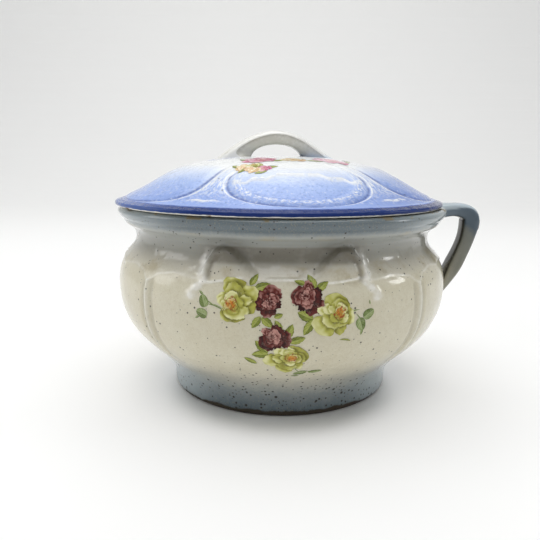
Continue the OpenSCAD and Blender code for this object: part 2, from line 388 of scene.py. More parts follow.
@dataclass
class PotBody:
    """The pot: turned profile with moulded relief, foot ring and open bowl. Sizes in millimetres."""

    foot_r: float = 80.5
    foot_h: float = 8.0
    foot_edge: float = 2.2
    foot_ring_w: float = 8.0
    foot_hollow: float = 4.5
    belly_r: float = 118.8
    belly_z: float = 77.0
    neck_r: float = 105.9
    neck_z: float = 111.0
    rim_r: float = 117.8
    rim_z: float = 131.6
    rim_edge: float = 3.2
    lip_edge: float = 4.0
    wall: float = 5.5
    floor_t: float = 7.0
    floor_edge: float = 16.0
    columns: int = 448
    crowding: float = 0.62
    crowds: int = 16
    relief_z: Point = (82, 118)
    lobe_top: float = 116.2
    lobe_foot: float = 95.7
    lobe_at: float = 18.2
    scroll_h: float = 2.0
    crease_d: float = 0.8
    shoulder_line: Sequence[Point] = (
        (0, 97.6), (5, 97.5), (11, 97.2), (18, 96.4), (23, 96), (27, 96), (34, 97.6), (40.5, 95.6),
        (45, 90.5))
    shoulder_share: Sequence[Point] = (
        (0, 1.0), (4, 1.0), (5.5, 0.2), (11, 0.2), (13, 0.9), (22, 0.9), (25.5, 0.3), (45, 0.4))
    scroll_line: Sequence[Point] = (
        (84, 26.2), (88, 26.6), (92.5, 24.9), (95.5, 23.4), (100, 24.5), (105, 24.4), (112, 23.6))
    crease_line: Sequence[Point] = ((96, 22.1), (101, 22.1), (105, 21.5), (109, 19.8), (113, 17.8))
    side: list[Point] = field(init=False)
    radii: list[float] = field(init=False)
    heights: list[float] = field(init=False)
    lobe_r: float = field(init=False)

    def __post_init__(self) -> None:
        """Work out the outside of the wall, from the foot's edge to the top of the rim."""
        f, b, n = (self.foot_r, self.foot_h), (self.belly_r, self.belly_z), (self.neck_r, self.neck_z)
        c = (self.rim_r, self.rim_z - self.rim_edge)
        up, over, out = b[1] - f[1], n[1] - b[1], c[1] - n[1]
        foot = arc_rows((f[0] - self.foot_edge, self.foot_edge), self.foot_edge, -90, 0, 5)
        self.side = (
            foot + line_rows(foot[-1], f, 6)
            + curve_rows([f, (f[0] + 1.5, f[1] + 0.344 * up), (b[0], b[1] - 0.578 * up), b], 34)
            + curve_rows([b, (b[0], b[1] + 0.714 * over), (n[0], n[1] - 0.352 * over), n], 66)
            + curve_rows([n, (n[0], n[1] + 0.46 * out), (c[0] - 4.3, c[1] - 0.56 * out), c], 36)
            + arc_rows((c[0] - self.rim_edge, c[1]), self.rim_edge, 12, 90, 6))
        self.radii = [p[0] for p in self.side]
        self.heights = [p[1] for p in self.side]
        self.lobe_r = self.side_r(self.lobe_foot)

    def side_r(self, z: float) -> float:
        """Radius of the plain outside at a height."""
        return look_up(self.heights, self.radii, z)

    def inside(self) -> list[Point]:
        """Profile of the bowl.

        Returns:
            Its points, from the lip down to the middle of the floor.
        """
        floor_z = self.foot_hollow + self.floor_t
        throat, e, lip_r = self.neck_r - self.wall, self.floor_edge, 2 * self.lip_edge
        wall = [p for p in inward(self.side[11:], self.wall) if floor_z + e < p[1] < self.neck_z]
        x, z = wall[0]
        flat = (x - 1.5 * e, floor_z)
        bottom = curve_rows([flat, (x - 0.5 * e, floor_z), (x - 0.3 * e, z - 0.55 * e), wall[0]], 12)
        lip = arc_rows((throat + lip_r, self.rim_z - self.lip_edge), lip_r, 150, 180, 5)
        floor = line_rows((0, floor_z), flat, 6)
        return (lip + line_rows(lip[-1], (throat, self.neck_z), 4) + wall[::-4] + bottom[-2::-1]
                + floor[::-1] + [(0, floor_z)])

    def panel(self, turn: float) -> float:
        """Degrees from the middle of the nearest panel, for an angle in radians."""
        return abs((math.degrees(turn) + 45) % 90 - 45)

    def lobed(self, turn: float) -> bool:
        """Whether the panel at an angle has lobes, as the front and the back do."""
        return round(math.degrees(turn) / 90) % 2 == 1

    def scroll(self, a: float, z: float, r: float) -> float:
        """Share of the fluted ridge beside a lobe.

        Args:
            a: degrees from the panel's middle, here and in the methods below.
            z: height.
            r: radius of the plain outside.

        Returns:
            The share, 0 to about 1.
        """
        d = arc(a - through(self.scroll_line, z), r)
        flute = 0.8 * bump(d - 0.8, 4.6) + 0.25 * bump(d + 1.6, 1.5) * smooth(90, 97, z)
        return flute * plateau(z, 83.5, 87, 108, 115) * (0.84 + 0.16 * math.sin(0.9 * z))

    def crease(self, a: float, z: float, r: float) -> float:
        """Share of the deep crease between a lobe and its ridge."""
        return bump(arc(a - through(self.crease_line, z), r), 2.8) * plateau(z, 94.5, 98.5, 107, 114)

    def lobe(self, a: float, z: float, r: float) -> float:
        """How far a shoulder lobe stands out of the neck's hollow.

        Args:
            a: degrees from the panel's middle.
            z: height.
            r: radius of the plain outside.

        Returns:
            The height over the plain outside.
        """
        if z <= self.lobe_foot:
            return 0.0
        y = (z - self.lobe_foot) / (self.lobe_top - self.lobe_foot)
        x = self.lobe_at - a
        edge = bump(x, 13.6) if x > 0 else math.sqrt(max(0.0, 1 - (x / 6.6) ** 2))
        proud = self.lobe_r - 0.15 * (z - self.lobe_foot) - r
        return max(0.0, proud) * smooth(edge + 0.08, edge - 0.2, y)

    def bead(self, a: float, z: float, r: float) -> float:
        """Height of the bead between two panels, with the groove at its foot."""
        d = arc(45 - a, r)
        return (1.35 * bump(d, 2.6) - 0.65 * bump(d - 4.4, 3.0)) * plateau(z, 30, 48, 88, 94)

    def shoulder_edge(self, turn: float) -> float:
        """Height of the scalloped edge at an angle, which leans a little where it passes a lobe."""
        a, lean = self.panel(turn), math.copysign(0.3, math.cos(turn))
        return through(self.shoulder_line, a) + lean * (a - 17) * plateau(a, 9, 13, 22, 26)

    def shoulder(self, turn: float, z: float) -> float:
        """Height of the shoulder over the panel, at an angle in radians and a height."""
        over, share = z - self.shoulder_edge(turn), through(self.shoulder_share, self.panel(turn))
        return (0.85 * plateau(over, -1.5, 0.6, 2, 13) + 0.5 * bump(over - 0.4, 1.4)) * share

    def collar(self, z: float) -> float:
        """Height of the turned bead and groove under the rim."""
        return 0.75 * bump(z - 120.4, 2.4) - 0.5 * bump(z - 124.0, 1.7)

    def leaf_line(self, a: float, z: float, r: float) -> float:
        """Faint moulded vein near a panel's upper corner."""
        at = mix(43.3, 40.6, (z - 99.6) / 9.4)
        return 0.45 * bump(arc(a - at, r), 1.8) * plateau(z, 98, 101, 107, 112)

    def surface(self, turn: float, z: float) -> float:
        """Radius of the finished outside.

        Args:
            turn: angle in radians.
            z: height.

        Returns:
            The radius, with the relief and the glaze's unevenness.
        """
        a, r = self.panel(turn), self.side_r(z)
        raised = self.bead(a, z, r) + self.collar(z)
        if self.relief_z[0] < z < self.relief_z[1]:
            raised += self.shoulder(turn, z) + self.leaf_line(a, z, r)
            if self.lobed(turn):
                raised += self.lobe(a, z, r) + self.scroll_h * self.scroll(a, z, r)
                raised -= self.crease_d * self.crease(a, z, r)
        x, y = r * math.cos(turn), r * math.sin(turn)
        soft = 0.22 * wander(x, y, z, 34) + 0.3 * wander(x, y, z, 11) * plateau(z, 92, 98, 108, 116)
        return r + raised + soft * plateau(z, 4, 12, 126, self.rim_z)

    def place(self, at: Point, x: float, y: float, lift: float) -> Vector:
        """Point over the pot's outside.

        Args:
            at: degrees from the front and height.
            x: millimetres to the right of it.
            y: millimetres up the wall from it.
            lift: height over the glaze.

        Returns:
            The point in millimetres.
        """
        slope = (self.side_r(at[1] + 2) - self.side_r(at[1] - 2)) / 4
        turn = math.radians(at[0] - 90) + x / self.side_r(at[1])
        z = at[1] + y / math.hypot(1, slope)
        lean = (self.side_r(z + 1) - self.side_r(z - 1)) / 2
        k = lift / math.hypot(1, lean)
        out = self.surface(turn, z) + k
        return Vector((out * math.cos(turn), out * math.sin(turn), z - k * lean))

    def ridges_and_hollows(self, turn: float, z: float, r: float) -> Point:
        """Shares of ridge, white from thin glaze and painted highlight, and of hollow, dark from dirt and
        painted shade, on the outside.

        Args:
            turn: angle in radians.
            z: height.
            r: radius of the plain outside.

        Returns:
            Both shares, 0 to 1.
        """
        a = self.panel(turn)
        bead, edge = self.bead(a, z, r), z - self.shoulder_edge(turn)
        share = through(self.shoulder_share, a)
        # Painted highlight along the shoulder's scalloped edge and on the beads; thin glaze also shows white
        # there.
        proud = limit(1.3 * share * bump(edge - 0.3, 1.3) + 0.5 * max(0.0, bead))
        hollow = limit(-0.5 * bead)
        if self.lobed(turn):
            # Painted shade: the neck's hollow over and between the lobes is marked to be darkened.
            over = bump(math.hypot((a - self.lobe_at) / 12, (z - self.lobe_top - 1) / 7), 1)
            cove = smooth(32, 18, a) * plateau(z, 104.5, 107.5, 114, 115.6)
            # The fluted scroll ridge is whitened the same way, partly as painted highlight.
            proud = limit(proud + self.scroll_h * self.scroll(a, z, r))
            hollow = limit(hollow + self.crease_d * self.crease(a, z, r) + 0.4 * over + 0.9 * cove)
        return proud, hollow

    def build(self) -> Thing:
        """Spin the closed section and raise the relief on its outside.

        Returns:
            The pot as a piece of the object.
        """
        ring_in = self.foot_r - self.foot_edge - self.foot_ring_w
        middle, hollow_end = (0.0, self.foot_hollow), (ring_in - 0.6 * self.foot_hollow, self.foot_hollow)
        under = [middle, *line_rows(middle, hollow_end, 8), (ring_in - 0.4, 0.7), (ring_in + 0.5, 0.0)]
        bm = turned([(under, 0.0), (self.side, 1.0), (self.inside(), 0.0)], self.columns)
        proud, hollow = layers(bm, "proud", "hollow")
        outside = bm.verts.layers.float["outside"]
        for v in bm.verts:
            turn = math.atan2(v.co.y, v.co.x)
            turn -= self.crowding * math.sin(self.crowds * turn) / self.crowds
            r, z = v.co.xy.length, v.co.z
            if v[outside] > 0.5:
                v[proud], v[hollow] = self.ridges_and_hollows(turn, z, r)
                r += self.surface(turn, z) - self.side_r(z)
            v.co = Vector((r * math.cos(turn), r * math.sin(turn), z)) * MM
        piece = finish_piece(bm, "pot", "pot")
        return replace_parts(piece, "pot_body")


@dataclass
class Lid:
    """The domed lid: moulded panels above, locating flange below. Sizes in millimetres."""

    lid_r: float = 117.0
    seat_z: float = 131.9
    brim_drop: float = 0.3
    edge: float = 3.4
    rise: float = 33.8
    wall: float = 5.0
    flange_r: float = 96.0
    flange_t: float = 5.0
    flange_h: float = 9.0
    flange_edge: float = 1.2
    shift: float = 2.508
    turn: float = 8.0
    loop_foot: float = 32.5
    loop_off: float = 2.0
    relief_r: float = 54.0
    columns: int = 480
    crown_z: float = field(init=False)
    brim: list[Point] = field(init=False)
    dome: list[Point] = field(init=False)
    radii: list[float] = field(init=False)
    tops: list[float] = field(init=False)

    def __post_init__(self) -> None:
        """Work out the outside, from the seat to the crown."""
        brim_z, half = self.seat_z + self.brim_drop, self.edge / 2
        self.crown_z = brim_z + self.rise
        round_edge = arc_rows((self.lid_r - half, brim_z + half), half, -80, 50, 9)
        x, z = round_edge[-1]
        self.brim = [(self.lid_r - 5, self.seat_z), (self.lid_r - 4.4, self.seat_z + 0.2), *round_edge]
        self.dome = curve_rows([(x, z), (x - 0.31 * self.lid_r, z + 0.358 * (self.crown_z - z)),
                                (0.73 * self.lid_r, self.crown_z), (0, self.crown_z)], 150)
        self.radii = [p[0] for p in self.dome[::-1]]
        self.tops = [p[1] for p in self.dome[::-1]]

    def dome_z(self, r: float) -> float:
        """Height of the plain dome at a radius."""
        return look_up(self.radii, self.tops, r)

    def quarter(self, turn: float) -> float:
        """Degrees from the lid's front or back, for an angle in radians from its front."""
        a = abs(math.degrees(turn)) % 180
        return 180 - a if a > 90 else a

    def cartouche(self, a: float, r: float) -> float:
        """Place across the front panel.

        Args:
            a: degrees from its middle.
            r: radius.

        Returns:
            0 at its middle and 1 on the crease around it.
        """
        if r > 80:
            return ((a / 30) ** 2.1 + ((r - 80) / 28) ** 2.1) ** (1 / 2.1)
        return a / (30 - 0.22 * (80 - max(r, 60)))

    def side_panel(self, a: float, r: float) -> float:
        """Place across a side panel: 0 at its middle and 1 on its edge."""
        return (((90 - a) / 51) ** 4 + (max(0.0, r - 64) / 45.6) ** 4) ** 0.25

    def fields(self, turn: float, r: float) -> tuple[float, float, float]:
        """Places on the lid that its moulded lines follow.

        Args:
            turn: radians from the lid's front.
            r: radius.

        Returns:
            Place across the front panel, place across the side panel, and distance out from the bracket.
        """
        a = self.quarter(turn)
        bracket = 77 + 5 * smooth(9, 14, a) + 5 * smooth(19, 22.5, a)
        return self.cartouche(a, r), self.side_panel(a, r), r - bracket

    def curl(self, turn: float, r: float) -> float:
        """Share of the small wavy ridge between two panels, near the edge."""
        a = self.quarter(turn)
        return bump(r - 104.5 + 0.012 * (a - 34) ** 2 - 0.5 * math.sin(a), 1.5) * bump(a - 33.5, 8)

    def relief(self, turn: float, r: float) -> float:
        """Height of the moulding over the plain dome.

        Args:
            turn: radians from the lid's front.
            r: radius.

        Returns:
            The height.
        """
        if r < self.relief_r:
            return 0.0
        q, s, out = self.fields(turn, r)
        groove = bump(q - 1.0, 0.06) + 0.8 * bump(s - 1.02, 0.04)
        sunk = smooth(0.8, 0.7, q) * smooth(-1, 2, out)
        ridges = 0.95 * bump(q - 0.88, 0.14) + 0.45 * bump(out, 2.2) * smooth(0.98, 0.9, q)
        height = ridges + 0.6 * self.curl(turn, r) + 0.9 * smooth(1.02, 0.92, s) - 0.75 * groove - 0.4 * sunk
        return height * plateau(r, 56, 72, 111.5, self.lid_r)

    def top(self, turn: float, r: float) -> float:
        """Height of the finished dome.

        Args:
            turn: radians from the lid's front.
            r: radius.

        Returns:
            The height, with the relief and the glaze's unevenness.
        """
        x, y = r * math.cos(turn), r * math.sin(turn)
        soft = 0.25 * wander(x, y, 0, 26) + 0.12 * wander(x, y, 9, 9)
        return self.dome_z(r) + self.relief(turn, r) + soft * smooth(self.lid_r, 108, r)

    def seat(self) -> Matrix:
        """Move from the lid's own axis to the place where it lies on the rim."""
        return Matrix.Translation((-self.shift, 0, 0)) @ Matrix.Rotation(math.radians(self.turn), 4, "Z")

    def place(self, at: Point, x: float, y: float, lift: float) -> Vector:
        """Point over the dome.

        Args:
            at: degrees from the lid's front and radius.
            x: millimetres to the right of it.
            y: millimetres towards the crown.
            lift: height over the glaze.

        Returns:
            The point in millimetres, on the seated lid.
        """
        r = max(1.0, at[1] - y)
        turn = math.radians(at[0]) + x / at[1]
        slope = (self.dome_z(r + 1) - self.dome_z(r - 1)) / 2
        k = lift / math.hypot(1, slope)
        q, out = turn - math.pi / 2, r - k * slope
        return self.seat() @ Vector((out * math.cos(q), out * math.sin(q), self.top(turn, r) + k))

    def underside(self) -> list[Point]:
        """Profile of the hollow and the flange.

        Returns:
            Its points, from the axis out to the seat.
        """
        flange_in, e = self.flange_r - self.flange_t, self.flange_edge
        foot = self.seat_z - self.flange_h + e
        ceiling = inward([self.brim[-1], *self.dome], self.wall)
        roof = [p for p in ceiling if 1 < p[0] < flange_in - 1][::5]
        root = (flange_in, roof[0][1] - 1.5)
        return ([(0.0, self.crown_z - self.wall), *roof[::-1], root] + line_rows(root, (flange_in, foot), 4)
                + arc_rows((flange_in + e, foot), e, 180, 270, 3)
                + arc_rows((self.flange_r - e, foot), e, -90, 0, 3)
                + [(self.flange_r, self.seat_z - 0.8), (self.flange_r + 0.8, self.seat_z)])

    def build(self) -> Thing:
        """Spin the closed section, raise the relief on the dome and seat the lid.

        Returns:
            The lid as a piece of the object.
        """
        bm = turned([(self.underside(), 0.0), (self.brim, 0.5), (self.dome, 1.0)], self.columns)
        front, side, bracket, proud, pooled_glaze_and_shade, reach = layers(
            bm, "front_place", "side_place", "bracket_place", "proud", "pooled_glaze_and_shade", "reach")
        outside, seat = bm.verts.layers.float["outside"], self.seat()
        for v in bm.verts:
            r, turn = v.co.xy.length, math.atan2(v.co.x, -v.co.y)
            v[reach] = r / self.lid_r
            if v[outside] > 0.75:
                v.co.z += self.top(turn, r) - self.dome_z(r)
                v[front], v[side], v[bracket] = self.fields(turn, r)
                # The small wavy ridge's share, painted white in the glaze as thin glaze and painted
                # highlight.
                v[proud] = limit(2.2 * self.curl(turn, r))
                # Painted shadow and pooled glaze round the feet of the lid's handle.
                x = abs(v.co.x + self.loop_off) - self.loop_foot
                v[pooled_glaze_and_shade] = smooth(1.3, 0.95, math.hypot(x / 15.5, v.co.y / 14))
            else:
                v[front] = v[side] = 2.0
            v.co = seat @ v.co * MM
        piece = finish_piece(bm, "pot_lid", "cover")
        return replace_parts(piece, "lid")


@dataclass
class PotHandle:
    """The strap handle at the pot's side. Sizes in millimetres."""

    pot: PotBody
    reach: float = 28.5
    depth: float = 13.0
    width: float = 15.0
    foot_z: float = 61.0
    squareness: float = 3.6
    steps: int = 110
    head_steps: int = 44
    sides: int = 48
    path: list[Point] = field(init=False)

    def __post_init__(self) -> None:
        """Work out the middle line, from the collar out to the bend and down to the belly."""
        pot, bend_z = self.pot, self.pot.rim_z - 12
        x = pot.belly_r + self.reach - self.depth / 2
        head = (pot.rim_r - 8, pot.rim_z - 0.38 * self.depth - 1.4)
        foot = (pot.side_r(self.foot_z) - 1, self.foot_z)
        mid = (mix(foot[0], x, 0.5) + 5.5, mix(foot[1], bend_z, 0.5) - 3.5)
        bend, tail = (x, bend_z), self.steps - self.head_steps
        upper = [head, (head[0] + 16, head[1] + 4.5), (x, bend_z + 10), bend]
        lower = [foot, mid, (x, bend_z - 11), bend]
        self.path = [curve(upper, i / self.head_steps) for i in range(self.head_steps)]
        self.path += [curve(lower, 1 - i / tail) for i in range(tail + 1)]

    def section(self, i: int) -> Point:
        """Half width and half depth of the strap.

        Args:
            i: step along the handle.

        Returns:
            Both, in millimetres.
        """
        head, tail = i / self.head_steps, (self.steps - i) / (self.steps - self.head_steps)
        w, d = self.width / 2, self.depth / 2
        if i < self.head_steps:
            thick = 0.76 + 0.24 * smooth(0.35, 1, head) + 0.1 * smooth(0.4, 0.1, head)
            return w * (1 + 0.45 * smooth(0.5, 0, head)), d * thick
        end = math.sqrt(max(0.04, 1 - max(0.0, 1 - tail / 0.12) ** 2))
        thick = 0.82 + 0.18 * smooth(0.6, 1, tail) - 0.54 * smooth(0.4, 0, tail)
        return w * (1 + 0.4 * smooth(0.55, 0.12, tail)) * end, d * thick

    def normal(self, i: int) -> Point:
        """Outward direction across the strap at a step."""
        t = heading(self.path, i)
        return (-t.y, t.x)

    def place(self, at: Point, x: float, y: float, lift: float) -> Vector:
        """Point over the handle's outer face.

        Args:
            at: share along the handle, and offset across it.
            x: millimetres across it from there.
            y: millimetres back along it from there.
            lift: height over the glaze.

        Returns:
            The point in millimetres.
        """
        i = int(limit(at[0] * self.steps, 1, self.steps - 2))
        gap = math.dist(self.path[i - 1], self.path[i + 1]) / 2
        s = limit(at[0] * self.steps - y / gap, 0, self.steps - 1.01)
        p = between(self.path[int(s)], self.path[int(s) + 1], s - int(s))
        n, (w, d), across = self.normal(i), self.section(i), at[1] + x
        rise = d * (1 - min(0.98, abs(across / w)) ** self.squareness) ** (1 / self.squareness) + lift
        return Vector((p[0] + n[0] * rise, across, p[1] + n[1] * rise))

    def build(self) -> Thing:
        """Bend a tube along the middle line and give it the strap's section.

        Returns:
            The handle as a piece of the object.
        """
        bm = tube(self.sides, self.steps)
        along, under, over = layers(bm, "along", "under", "over")
        for v in bm.verts:
            i, q = round(v.co.z), math.atan2(v.co.y, v.co.x)
            n, p, (w, d) = self.normal(i), self.path[i], self.section(i)
            across = w * power(math.cos(q), 2 / self.squareness)
            out = d * power(math.sin(q), 2 / self.squareness)
            share, level = i / self.steps, out / d
            edge = mix(0.15, 0.74, smooth(0.12, 0.36, share))
            v[along] = share - 0.05 * level
            v[under] = smooth(-0.72, -0.92, level)
            v[over] = smooth(edge, edge + 0.16, level)
            out += 0.12 * wander(p[0], across, p[1], 9)
            v.co = Vector((p[0] + n[0] * out, across, p[1] + n[1] * out)) * MM
        face_out(bm)
        piece = finish_piece(bm, "pot_grip", "pot")
        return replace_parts(piece, "pot_handle")


@dataclass
class LidHandle:
    """The arched handle on the lid, between an outer and an inner line. Sizes in millimetres."""

    lid: Lid
    span: float = 91.0
    gap: float = 38.0
    rise: float = 18.2
    depth: float = 10.2
    width: float = 19.0
    off: float = 2.0
    sink: float = 0.6
    right_flare: Point = (0.73, 1.8)
    left_flare: Point = (0.79, 3.6)
    steps: int = 112
    sides: int = 64

    def lines(self, share: float) -> tuple[Point, Point]:
        """Points of the outer and the inner line.

        Args:
            share: place from the right foot to the left one.

        Returns:
            The outer and the inner point.
        """
        t = 1 - math.cos(math.pi * min(share, 1 - share))
        side, flare = (1, self.right_flare) if share < 0.5 else (-1, self.left_flare)
        a, b, crown = self.span / 2, self.gap / 2, self.lid.crown_z
        top, under = crown + self.rise, crown + self.rise - self.depth
        out = curve([(a, self.lid.dome_z(a) - self.sink), (flare[0] * a, crown + flare[1]),
                     (0.43 * a, top), (0, top)], t)
        low = curve([(b, self.lid.dome_z(b) - self.sink), (0.86 * b, under - 3),
                     (0.5 * b, under), (0, under)], t)
        return (side * out[0], out[1]), (side * low[0], low[1])

    def section(self, q: float, edge: float) -> Point:
        """Point of the section: round above its edge, sloping in below it.

        Args:
            q: angle round the section.
            edge: height of the edge, -1 to 1.

        Returns:
            Place across and place up, each about -1 to 1.
        """
        c, s = math.cos(q), math.sin(q)
        if s > 0:
            return (c, edge + (1 - edge) * s)
        drop = abs(s) ** 0.55
        return (power(c, 0.4) * (1 - 0.36 * drop), edge - (1 + edge) * drop)

    def build(self) -> Thing:
        """Bend a tube along the arch and give it its section.

        Returns:
            The handle as a piece of the object.
        """
        bm = tube(self.sides, self.steps)
        along, under, seam = layers(bm, "along", "under", "seam")
        seat = self.lid.seat()
        for v in bm.verts:
            share = round(v.co.z) / self.steps
            out, low = self.lines(share)
            edge = 0.35 - 0.95 * smooth(0.72, 0.97, share)
            x, y = self.section(math.atan2(v.co.y, v.co.x), edge)
            across = self.width / 2 * x * (1 + 0.3 * smooth(0.3, 0, min(share, 1 - share)))
            at, z = between(low, out, (1 + y) / 2)
            p = Vector((at - self.off, across, z))
            v[along] = share
            v[under] = smooth(edge + 0.03, edge - 0.15, y)
            v[seam] = smooth(0.06, 0.0, abs(y - edge))
            p.z += 0.14 * wander(p.x, across, p.z, 10)
            v.co = seat @ p * MM
        face_out(bm)
        piece = finish_piece(bm, "lid_grip", "cover")
        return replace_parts(piece, "lid_handle")


# The rose transfers

class Carrier(Protocol):
    """A piece that transfers can lie on."""

    def place(self, at: Point, x: float, y: float, lift: float) -> Vector:
        """Point over the glaze at an offset from a place on the piece."""


@dataclass(frozen=True)
class Motif:
    """One printed motif: its place on the carrier, size, ink and turn in degrees."""

    at: Point
    size: float
    ink: Print
    turn: float = 0.0

    def patch(self, bm: Mesh) -> list[Vert]:
        """Add the flat unit patch to a mesh and return its vertices."""
        raise NotImplementedError

    def shape(self, x: float, y: float) -> Point:
        """Place in the motif, in sizes, of a point of the unit patch."""
        raise NotImplementedError

    def paint(self, x: float, y: float) -> Colour:
        """Colour at a point of the unit patch."""
        raise NotImplementedError

    def lay(self, bm: Mesh, carrier: Carrier, lift: float) -> None:
        """Print the motif on its carrier.

        Args:
            bm: mesh of the whole spray.
            carrier: the piece it lies on.
            lift: height over the glaze in millimetres.
        """
        layer = bm.verts.layers.float_color["print"]
        c, s = math.cos(math.radians(self.turn)), math.sin(math.radians(self.turn))
        for v in self.patch(bm):
            x, y = self.shape(v.co.x, v.co.y)
            v[layer] = (*self.paint(v.co.x, v.co.y), 1.0)
            across, up = self.size * (x * c - y * s), self.size * (x * s + y * c)
            v.co = carrier.place(self.at, across, up, lift) * MM


@dataclass(frozen=True)
class Rose(Motif):
    """A full-blown rose of four rings of petals around an off-centre heart.

    Each ring gives its number of petals, its reach and where its first petal starts.
    """

    heart: Point = (0.0, 0.0)
    rings: Sequence[tuple[int, float, float]] = (
        (5, 1.0, 0.0), (4, 0.76, 0.35), (4, 0.52, 0.1), (3, 0.3, 0.6))
    rows: int = 30
    columns: int = 112

    def patch(self, bm: Mesh) -> list[Vert]:
        """Spin a radial line into a round patch."""
        return wheel(bm, [bm.verts.new((i / self.rows, 0, 0)) for i in range(self.rows + 1)], self.columns)

    def petal(self, ring: int, x: float, y: float) -> tuple[float, float, int]:
        """Where a point lies in one ring of petals.

        Args:
            ring: the ring's number, from the outside in.
            x: place across the rose.
            y: place up the rose.

        Returns:
            Share of the way to the petal's edge, place across the petal (-1 to 1), and its number.
        """
        count, reach, start = self.rings[ring]
        dx, dy = x - self.heart[0] * (1 - reach), y - self.heart[1] * (1 - reach)
        q = math.atan2(dy, dx)
        turns = q / math.tau + start + 0.035 * math.sin(2 * q + self.turn) + 0.02 * math.sin(3 * q + ring)
        j, f = divmod(turns % 1 * count, 1)
        t = 2 * f - 1
        frill = 0.018 + 0.07 * self.ink.value.depth
        edge = reach * (1 - 0.24 * abs(t) ** 2.4 + 0.1 * math.sin(2.6 * j + 1.7 * ring + self.turn)
                        + 0.04 * math.sin(4.2 * t + j) + frill * math.sin(13 * t + 2 * j))
        return math.hypot(dx, dy) / edge, t, int(j)

    def shape(self, x: float, y: float) -> Point:
        """Scale a point of the round patch to the outline of the outer petals.

        Args:
            x: place across the patch.
            y: place up the patch.

        Returns:
            The point on the rose.
        """
        rho = math.hypot(x, y)
        share = self.petal(0, x / rho, y / rho)[0] if rho > 1e-6 else 1.0
        return (x / share, y / share)

    def petals(self, x: float, y: float) -> float:
        """Brightness of the petals: lit rims, dark bases, and shadow under the next ring in.

        Args:
            x: place across the rose.
            y: place up the rose.

        Returns:
            The brightness, about 0 to 1.
        """
        shadow = 0.0
        for ring in (3, 2, 1, 0):
            share, t, j = self.petal(ring, x, y)
            if share < 1 or ring == 0:
                break
            shadow = max(shadow, smooth(1.3, 1.0, share))
        own = math.sin(4.1 * j + 2.3 * ring + 0.1 * self.turn)
        v = (0.42 + 0.22 * own + 0.16 * (y - 0.6 * x) + 0.26 * smooth(0.35, 0.9, share)
             - 0.32 * smooth(-0.3, -1.0, t) - 0.45 * shadow
             + 0.16 * smooth(0.8, 0.95, share) * smooth(1.0, 0.4, abs(t)) * (1 + own)
             + 0.08 * math.sin(6 * t + 3 * j) * share + 0.34 * wander(x, y, j + 7 * ring, 0.26))
        lit = 0.45 * smooth(0.5, 0.15, math.hypot(x + 0.1, y + 0.25))
        return v + self.ink.value.depth * (lit - smooth(0.45, 0.9, math.hypot(x, y)))

    def paint(self, x: float, y: float) -> Colour:
        """Colour at a point of the unit patch.

        Args:
            x: place across the patch.
            y: place up the patch.

        Returns:
            The petals' colour, with the heart and its stamens.
        """
        x, y = self.shape(x, y)
        x += 0.07 * wander(x, y, self.turn, 0.45) + 0.02 * wander(x, y, 2.0, 0.12)
        y += 0.07 * wander(y, x, self.turn + 5, 0.45) + 0.02 * wander(y, x, 4.0, 0.12)
        ink = self.ink.value
        colour = ink.shade(limit(self.petals(x, y)))
        dx, dy = x - 0.7 * self.heart[0], y - 0.7 * self.heart[1]
        off = math.hypot(dx, dy)
        core = smooth(0.3, 0.1, off)
        colour = blend(colour, ink.heart, core * (0.35 + 0.65 * smooth(-0.2, 0.2, wander(x, y, 3.0, 0.08))))
        rays = math.sin(6 * math.atan2(dy, dx) + 9 * wander(dx, dy, self.turn, 0.15))
        stamens = smooth(-0.1, 0.5, rays) * smooth(0.46, 0.24, off) * (1 - 0.2 * core)
        dots = smooth(-0.15, 0.1, wander(y, x, 8.0 + self.turn, 0.12))
        return blend(colour, ink.fleck, 0.95 * stamens * dots)


@dataclass(frozen=True)
class Leaf(Motif):
    """A leaf, and drawn fuller a bud, or drawn narrow a stem. Size is half its length."""

    slim: float = 0.5
    bend: float = 0.0
    blunt: float = 1.0
    teeth: float = 0.05
    columns: int = 14
    rows: int = 30

    def patch(self, bm: Mesh) -> list[Vert]:
        """Lay a square grid from -1 to 1."""
        return bmesh.ops.create_grid(bm, x_segments=self.columns, y_segments=self.rows, size=1)["verts"]

    def shape(self, x: float, y: float) -> Point:
        """Draw the grid in to a pointed outline on a bent midrib."""
        half = (self.slim * max(0.02, 1 - y * y) ** (0.85 * self.blunt)
                * (1 + self.teeth * math.sin(13 * y)))
        return (x * half * (1 - 0.18 * y) + self.bend * (1 - y * y), y)

    def paint(self, x: float, y: float) -> Colour:
        """Two-toned blade with a pale midrib and slanting veins.

        Args:
            x: place across the patch.
            y: place up the patch.

        Returns:
            The colour there.
        """
        ink, off = self.ink.value, abs(x)
        veins = 0.13 * math.sin(14.4 * (y - 0.8 * off)) * smooth(0.08, 0.3, off)
        v = 0.45 + (0.2 if x > 0 else -0.12) + veins - 0.2 * smooth(0.7, 1.0, off)
        v += 0.2 * wander(x, y, self.turn, 0.5)
        return blend(ink.shade(limit(v)), ink.light, 0.7 * smooth(0.12, 0.03, off))


def leaves(ink: Print, *rows: Sequence[float], **looks: float) -> list[Leaf]:
    """Leaves alike, each row giving a place in two numbers, then size, turn and slimness."""
    return [Leaf((x, y), size, ink, turn, slim=slim, **looks) for x, y, size, turn, slim in rows]


@dataclass
class Spray:
    """A printed spray of motifs on one piece, as one thin film. Sizes in millimetres."""

    name: str
    body: str
    slot: str
    carrier: Carrier
    motifs: Sequence[Motif]
    lift: float = 0.1
    layer: float = 0.018
    film: float = 0.03

    def build(self) -> Thing:
        """Lay the motifs over each other and close each into a thin film.

        Returns:
            The spray as a piece of the object.
        """
        bm = bmesh.new()
        bm.verts.layers.float_color.new("print")
        for i, motif in enumerate(self.motifs):
            motif.lay(bm, self.carrier, self.lift + self.layer * i)
        face_out(bm)
        bmesh.ops.solidify(bm, geom=bm.faces[:], thickness=self.film * MM)
        return finish_piece(bm, self.name, self.body)


